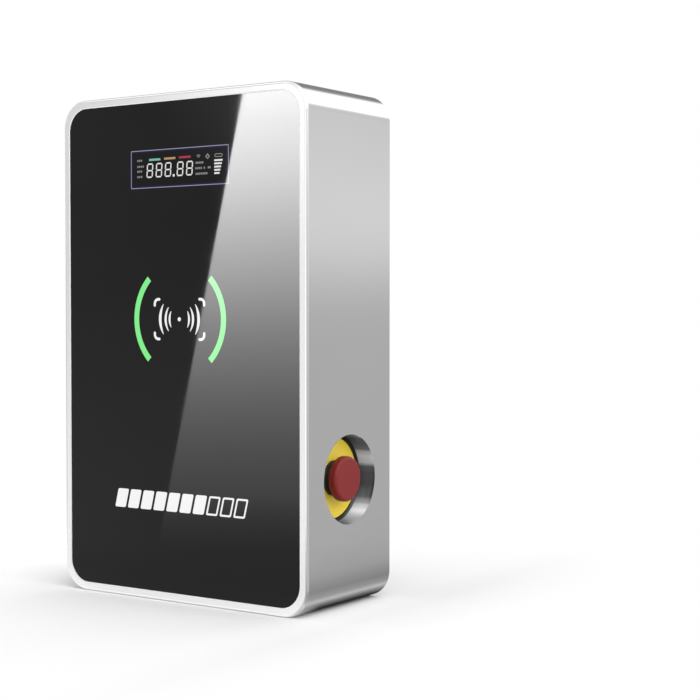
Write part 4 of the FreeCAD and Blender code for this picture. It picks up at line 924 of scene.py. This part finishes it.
def makeSmallMarks():
    work = bmesh.new()
    fan, diamond, oval = smallMarks["fan"], smallMarks["diamond"], smallMarks["oval"]
    spot = (fan["across"], display["rise"] + fan["up"])
    for radius in fan["radii"]:
        lines = [arcPoints(spot, edge, *fan["arc"]) for edge in (radius, radius - fan["line"])]
        addBand(work, *lines, front=marks["upper"])
    spot = (diamond["across"], display["rise"] + diamond["up"])
    lines = [arcPoints(spot, diamond["reach"] * share, 0, 270, 3) for share in (1, diamond["hole"])]
    addBand(work, *lines, closed=True, front=marks["upper"])
    spot = (oval["across"], display["rise"] + oval["up"])
    wide, tall = oval["size"]
    lines = [roundBox(spot, wide - 2 * inset, tall - 2 * inset, tall / 2 - inset - oval["flat"])
             for inset in (0, oval["line"])]
    addBand(work, *lines, closed=True, front=marks["upper"])
    finishWork("displaySmallMarks", work, "markGrey")


def finishCells(name, finish, row, front, foot, growth=0.0):
    # a row of leaning cells from its foot, with sizes in millimetres
    sizes = {size: row[size] * mm for size in ("width", "height", "corner", "line")}
    mesh = cellRow.grow(count=row["count"], full=row["full"], step=[side * mm for side in row["step"]],
                        lean=tan(radians(row["slant"])), growth=growth,
                        depth=(front + marks["sunk"]) * mm, finish=materials[finish],
                        place=(foot[0] * mm, glassFront + marks["sunk"] * mm, foot[1] * mm), **sizes)
    finishPiece(name, mesh, finish, "dark_glass")


stack = {"across": 35.6, "base": -7.0, "step": (0.0, 2.45, 0.0), "width": 5.2, "longest": 8.2,
         "height": 1.35, "count": 5, "full": 5, "corner": 0.2, "line": 0.3, "slant": 4}


def makeStack():
    # bars that get longer towards the top
    growth = (stack["longest"] / stack["width"] - 1) / (stack["count"] - 1)
    foot = (stack["across"], display["rise"] + stack["base"])
    finishCells("displayStack", "digitWhite", stack, marks["upper"], foot, growth)


lamp = {"rise": 222.6, "inner": 41.8, "outer": 46.8, "reach": 46}


def makeLamps():
    for name, middle in (("lampRight", 0), ("lampLeft", 180)):
        work = bmesh.new()
        lines = [arcPoints((0, lamp["rise"]), lamp[edge], middle - lamp["reach"], middle + lamp["reach"])
                 for edge in ("outer", "inner")]
        addBand(work, *lines)
        finishWork(name, work, "lampGreen", "clear_plastic")


sign = {
    "dot": 1.6, "dotSides": 24, "cornerIn": 19.4, "cornerOut": 26.3, "cornerUp": 16.7, "stroke": 2.15,
    "bendShare": 0.75, "bendSteps": 8, "endSteps": 6, "horn": 0.5, "waveSteps": 16,
    "waves": ((21.0, 3.3, 2.7, 11.8), (15.1, 1.8, 2.15, 9.4), (10.9, 1.1, 1.9, 6.3)),
}


def waveOutline(tip, middle, thick, tall):
    # a crescent: both edges end at the same height, the inner edge is flatter
    radius = tip - middle
    turn = degrees(asin(tall / radius))
    outer = arcPoints((middle, 0), radius, -turn, turn, sign["waveSteps"])
    start = outer[0][0] - sign["horn"]
    sag = tip - thick - start
    return outer, [(start + sag * (1 - (z / tall) ** 2), z) for _, z in outer]


def strokeBand(path, width):
    # a line of even width with half-round ends
    half, steps = width / 2, sign["endSteps"]
    points = [Vector(point) for point in path]
    left, right = [], []
    for place, point in enumerate(points):
        ahead = points[min(place + 1, len(points) - 1)] - points[max(place - 1, 0)]
        ahead.normalize()
        across = Vector((-ahead.y, ahead.x)) * half
        left.append(point + across)
        right.append(point - across)

    def cap(point, along, first):
        start = atan2(first.y - point.y, first.x - point.x)
        side = 1 if (first - point).cross(along) > 0 else -1
        turns = [start + side * pi * step / steps for step in range(1, steps)]
        return [point + Vector((cos(turn), sin(turn))) * half for turn in turns]

    ends = cap(points[-1], points[-1] - points[-2], left[-1]), cap(points[0], points[0] - points[1], right[0])
    return [(point.x, point.y) for point in left + ends[0] + right[::-1] + ends[1]]


def makeSign():
    # a dot between waves on both sides, in a frame of four corners
    work = bmesh.new()
    rise, half = lamp["rise"], sign["stroke"] / 2
    addPatch(work, arcPoints((0, rise), sign["dot"], 0, 360, sign["dotSides"])[:-1])
    inner, outer, top = sign["cornerIn"] + half, sign["cornerOut"] - half, sign["cornerUp"] - half
    bend = outer - inner
    radius = bend * sign["bendShare"]
    bow = arcPoints((outer - radius, top - radius), radius, 90, 0, sign["bendSteps"])
    corner = strokeBand([(inner, top), *bow, (outer, top - bend)], sign["stroke"])
    for side in (1, -1):
        for lift in (1, -1):
            addPatch(work, [(side * x, rise + lift * z) for x, z in corner])
        for wave in sign["waves"]:
            addBand(work, *[[(side * x, rise + z) for x, z in line] for line in waveOutline(*wave)])
    finishWork("readerSign", work, "printWhite")


gauge = {"base": 71.2, "step": (13.5, 0.0, 0.0), "width": 11.2, "height": 15, "count": 10, "full": 7,
         "corner": 1.4, "line": 1.5, "slant": 14}


def makeGauge():
    # a plain charge gauge: leaning cells, the last ones open
    start = -(gauge["step"][0] * (gauge["count"] - 1) + gauge["width"]) / 2
    finishCells("chargeGauge", "printWhite", gauge, marks["proud"], (start, gauge["base"]))


sealLip = {"gap": 0.4, "corner": 18.6, "steps": 12, "proud": 0.42, "depth": 1.6, "tuck": 0.03, "lap": 0.42}


def makeHighlightLip():
    # a pale band over the gap round the glass, lapping over the glass's edge: a painted highlight along that
    # edge
    work = bmesh.new()
    centre, size = (glassLow + glassHigh) / 2 / mm, (glassHigh - glassLow) / mm
    lines = [roundBox((centre.x, centre.z), size.x + 2 * reach, size.z + 2 * reach, sealLip["corner"] + reach,
                      sealLip["steps"]) for reach in (sealLip["gap"] + sealLip["tuck"], -sealLip["lap"])]
    addBand(work, *lines, closed=True, front=sealLip["proud"], back=sealLip["depth"])
    finishWork("sealLip", work, "paleSealant", "black_rubber")


for make in (makeWindow, makeDigits, makeBars, makeDashes, makeSmallMarks, makeStack, makeLamps, makeSign,
             makeGauge, makeHighlightLip):
    make()
print("stage: marks on the glass")


# Floor, light and surroundings

studioLight = {
    "sky": 0.95, "ground": 0.58, "horizon": (0.0, 0.04),
    "softboxes": (  # turn and rise of the middle, degrees from there to full and to no light, and the light
        (33, 11, 1, 8, 0.78),
        (10, 32, 21, 25, 1.9),
        (-40, 18, 25, 42, 0.28),
        (235, 33, 6, 14, 0.70),
        (250, 52, 8, 14, 1.5),
        (165, 8, 36, 48, 1.2),
        (220, 4, 12, 35, 0.72),
        (220, -24, 17, 26, 1.02),
        (212, -2, 2, 9, 1.0),
        (213, 10, 2, 9, 1.6),
        (108, 0, 22, 40, 0.5),
        (105, 42, 22, 40, 3.2),
    ),
}


def directionOf(turn, rise):
    # turn is clockwise from straight behind the box, seen from above
    turn, rise = radians(turn), radians(rise)
    return (cos(rise) * sin(turn), cos(rise) * cos(turn), sin(rise))


def makeWorld():
    # what the object sees; the camera sees plain white
    world = bpy.data.worlds.new("studioWorld")
    bpy.context.scene.world = world
    world.use_nodes = True
    sky = Tree(world.node_tree)
    sky.tree.nodes.clear()
    out = sky.add("ShaderNodeOutputWorld")
    place = sky.add("ShaderNodeTexCoord").outputs["Generated"]
    tones = studioLight["ground"], studioLight["sky"]
    level = sky.spread(sky.parts(place)["Z"], *tones, *studioLight["horizon"])
    for turn, rise, inner, outer, light in studioLight["softboxes"]:
        inputs = {0: place, 1: directionOf(turn, rise)}
        aim = sky.add("ShaderNodeVectorMath", inputs, operation="DOT_PRODUCT").outputs["Value"]
        edges = [cos(radians(angle)) for angle in (outer, inner)]
        inside = sky.spread(aim, 0, 1, *edges, interpolation_type="SMOOTHSTEP")
        level = sky.mix(inside, level, light)
    seen = sky.add("ShaderNodeLightPath").outputs["Is Camera Ray"]
    inputs = {"Color": (1, 1, 1, 1), "Strength": sky.mix(seen, level, 1.0)}
    sky.tree.links.new(sky.out("ShaderNodeBackground", inputs), out.inputs["Surface"])


def flatCard(name, corners, shade):
    mesh = bpy.data.meshes.new(name)
    mesh.from_pydata(corners, [], [(0, 1, 2, 3)])
    mesh.materials.append(shade.material)
    return newObject(name, mesh)


floorPaper = {
    "half": 20, "drop": 0.2, "rough": 0.95, "grain": 40, "grainTone": (0.995, 1.0),
    # the seen ramp is darkest just right of the box, a painted shadow
    "seen": ((0.0, 0.88), (0.3, 0.81), (0.5, 0.775), (0.6, 0.74), (0.66, 0.67), (0.75, 0.74), (1.0, 0.80)),
    "seenReach": (-0.32, 0.40), "paintedLightLeft": (-0.16, -0.11), "paintedLightBehind": (-0.06, 0.03), "paintedLightLift": 0.17,
    # the beside ramp paints the bands, and the dark under the box, that the metal's bottom edge mirrors
    "beside": ((0.0, 0.08), (0.03, 0.30), (0.057, 0.60), (0.075, 0.46), (0.095, 0.34), (0.2, 0.26),
               (0.41, 0.28), (0.53, 0.37), (0.68, 0.39), (1.0, 0.42)), "besideReach": (-0.012, 0.2),
    "frontTone": 0.78, "frontEdge": (-0.055, -0.03), "frontSide": 0.02, "frontPaintedGlow": 0.24, "paintedGlowReach": 0.09,
    "nearGloss": (0.30, 0.75), "farWhite": (0.15, 0.38),
}


def seenPaintedLightAndShade(shade, parts):
    # the paper under the camera's eye: a ramp from left to right, darkest just right of the box as painted
    # shadow, with painted light lifting it behind on the left
    tone = shade.ramp(shade.spread(parts["X"], 0, 1, *floorPaper["seenReach"]), floorPaper["seen"])
    left = shade.spread(parts["X"], 1, 0, *floorPaper["paintedLightLeft"])
    behind = shade.spread(parts["Y"], 0, floorPaper["paintedLightLift"], *floorPaper["paintedLightBehind"])
    return shade.maths("ADD", tone, shade.times(left, behind))


def mirroredPaintedBands(shade, parts, ahead):
    # the paper as the metal mirrors it: painted bright and dark bands beside the box for the reflection along
    # the metal's bottom edge, darkest under the box as painted shade, even in front of it
    edges = [highest.x + reach for reach in floorPaper["besideReach"]]
    beside = shade.spread(shade.maths("ABSOLUTE", parts["X"]), 0, 1, *edges)
    return shade.mix(ahead, shade.ramp(beside, floorPaper["beside"]), floorPaper["frontTone"])


def makeFloor():
    shade = Shade("floorPaper")
    shade.fix(Roughness=floorPaper["rough"], Specular_IOR_Level=0.0, Emission_Color=(1, 1, 1, 1))
    path = shade.add("ShaderNodeLightPath").outputs
    seen, inMetal = path["Is Camera Ray"], path["Is Glossy Ray"]
    parts = shade.parts(shade.place)
    ahead = shade.times(shade.spread(parts["Y"], 1, 0, *floorPaper["frontEdge"]),
                        shade.spread(parts["X"], 1, 0, highest.x - floorPaper["frontSide"], highest.x))
    tone = shade.mix(inMetal, seenPaintedLightAndShade(shade, parts), mirroredPaintedBands(shade, parts, ahead))
    grain = shade.spread(shade.noise(floorPaper["grain"], detail=3), *floorPaper["grainTone"])
    tone = shade.times(tone, grain)
    shade.join("Base Color", shade.out("ShaderNodeCombineColor", {0: tone, 1: tone, 2: tone}))
    # painted light: a glow on the paper just in front of the box that only the metal sees, so the rim's lower
    # edge mirrors it bright
    close = shade.spread(parts["Y"], 0, floorPaper["frontPaintedGlow"], lowest.y - floorPaper["paintedGlowReach"], lowest.y)
    shade.join("Emission Strength", shade.times(shade.times(inMetal, ahead), close))
    distance = shade.add("ShaderNodeVectorMath", {0: shade.place}, operation="LENGTH").outputs["Value"]
    white = shade.out("ShaderNodeEmission", {"Color": (1, 1, 1, 1), "Strength": 1.0})
    clear = shade.out("ShaderNodeBsdfTransparent")
    farSeen = shade.times(shade.spread(distance, 0, 1, *floorPaper["farWhite"]), seen)
    farGloss = shade.times(shade.spread(distance, 0, 1, *floorPaper["nearGloss"]), inMetal)
    under = shade.add("ShaderNodeNewGeometry").outputs["Backfacing"]  # clear when looked at from below
    surface = shade.surface.outputs[0]
    for share, other in ((farSeen, white), (farGloss, clear), (under, clear)):
        surface = shade.out("ShaderNodeMixShader", {0: share, 1: surface, 2: other})
    shade.show(surface)
    half, level = floorPaper["half"], lowest.z - floorPaper["drop"] * mm
    corners = [(-half, -half, level), (half, -half, level), (half, half, level), (-half, half, level)]
    flatCard("floor", corners, shade)


# The long softbox that shows in the glass: brightest at the top, with one slanted edge, which is
# given in millimetres on the glass

glassBox = {
    "ahead": 2.0, "edge": ((63.4, 393.9), (-11.6, 88.1)), "below": 0.02, "above": 0.06, "beside": 0.06,
    "light": 51,
    "levels": ((0.02, 0.0), (0.072, 0.0203), (0.109, 0.0369), (0.147, 0.0685), (0.184, 0.119), (0.222, 0.198),
               (0.259, 0.319), (0.297, 0.445), (0.335, 0.610), (0.372, 0.753), (0.394, 0.863)),
    "hiddenFrom": ("camera", "diffuse", "shadow", "transmission", "volume_scatter"),
}


def makeGlassBox():
    eye = Vector(camera["place"])
    eye.y = 2 * glassFront - eye.y  # the camera as the glass mirrors it
    stretch = (eye.y + glassBox["ahead"] - glassFront) / (eye.y - glassFront)

    def throw(across, rise):  # where the view through this spot of the glass meets the softbox
        spot = eye + (Vector((across, eye.y, rise)) - eye) * stretch
        return (spot.x, glassFront - glassBox["ahead"], spot.z)

    bottom, top = glassLow.z - glassBox["below"], glassHigh.z + glassBox["above"]
    shade = Shade("glassSoftboxLight")
    level = shade.spread(shade.parts(shade.place)["Z"], 0, 1, throw(0, bottom)[2], throw(0, top)[2])
    stops = [((height - bottom) / (top - bottom), light) for height, light in glassBox["levels"]]
    strength = glassBox["light"] / glassBox["levels"][-1][1]
    inputs = {"Color": shade.ramp(level, stops, "B_SPLINE"), "Strength": strength}
    glow = shade.out("ShaderNodeEmission", inputs)
    clear = shade.out("ShaderNodeBsdfTransparent")
    shade.show(shade.out("ShaderNodeAddShader", {0: glow, 1: clear}))
    (topX, topZ), (lowX, lowZ) = glassBox["edge"]
    lean = (topX - lowX) / (topZ - lowZ)
    corners = [throw((lowX + (end / mm - lowZ) * lean) * mm, end) for end in (bottom, top)]
    corners += [throw(glassHigh.x + glassBox["beside"], end) for end in (top, bottom)]
    card = flatCard("glassSoftbox", corners, shade)
    for ray in glassBox["hiddenFrom"]:
        setattr(card, "visible_" + ray, False)
    lit = bpy.data.collections.new("glassAndMarks")
    lit.objects.link(frame["nodes"]["front_glass"])
    for piece in bpy.context.scene.objects:
        if piece.get("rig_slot") == "dark_glass" or piece.name.startswith("lamp"):
            lit.objects.link(piece)
    card.light_linking.receiver_collection = lit


makeWorld()
makeFloor()
makeGlassBox()
bpy.context.scene.view_settings.view_transform = "Standard"
print("stage: floor, light and surroundings")
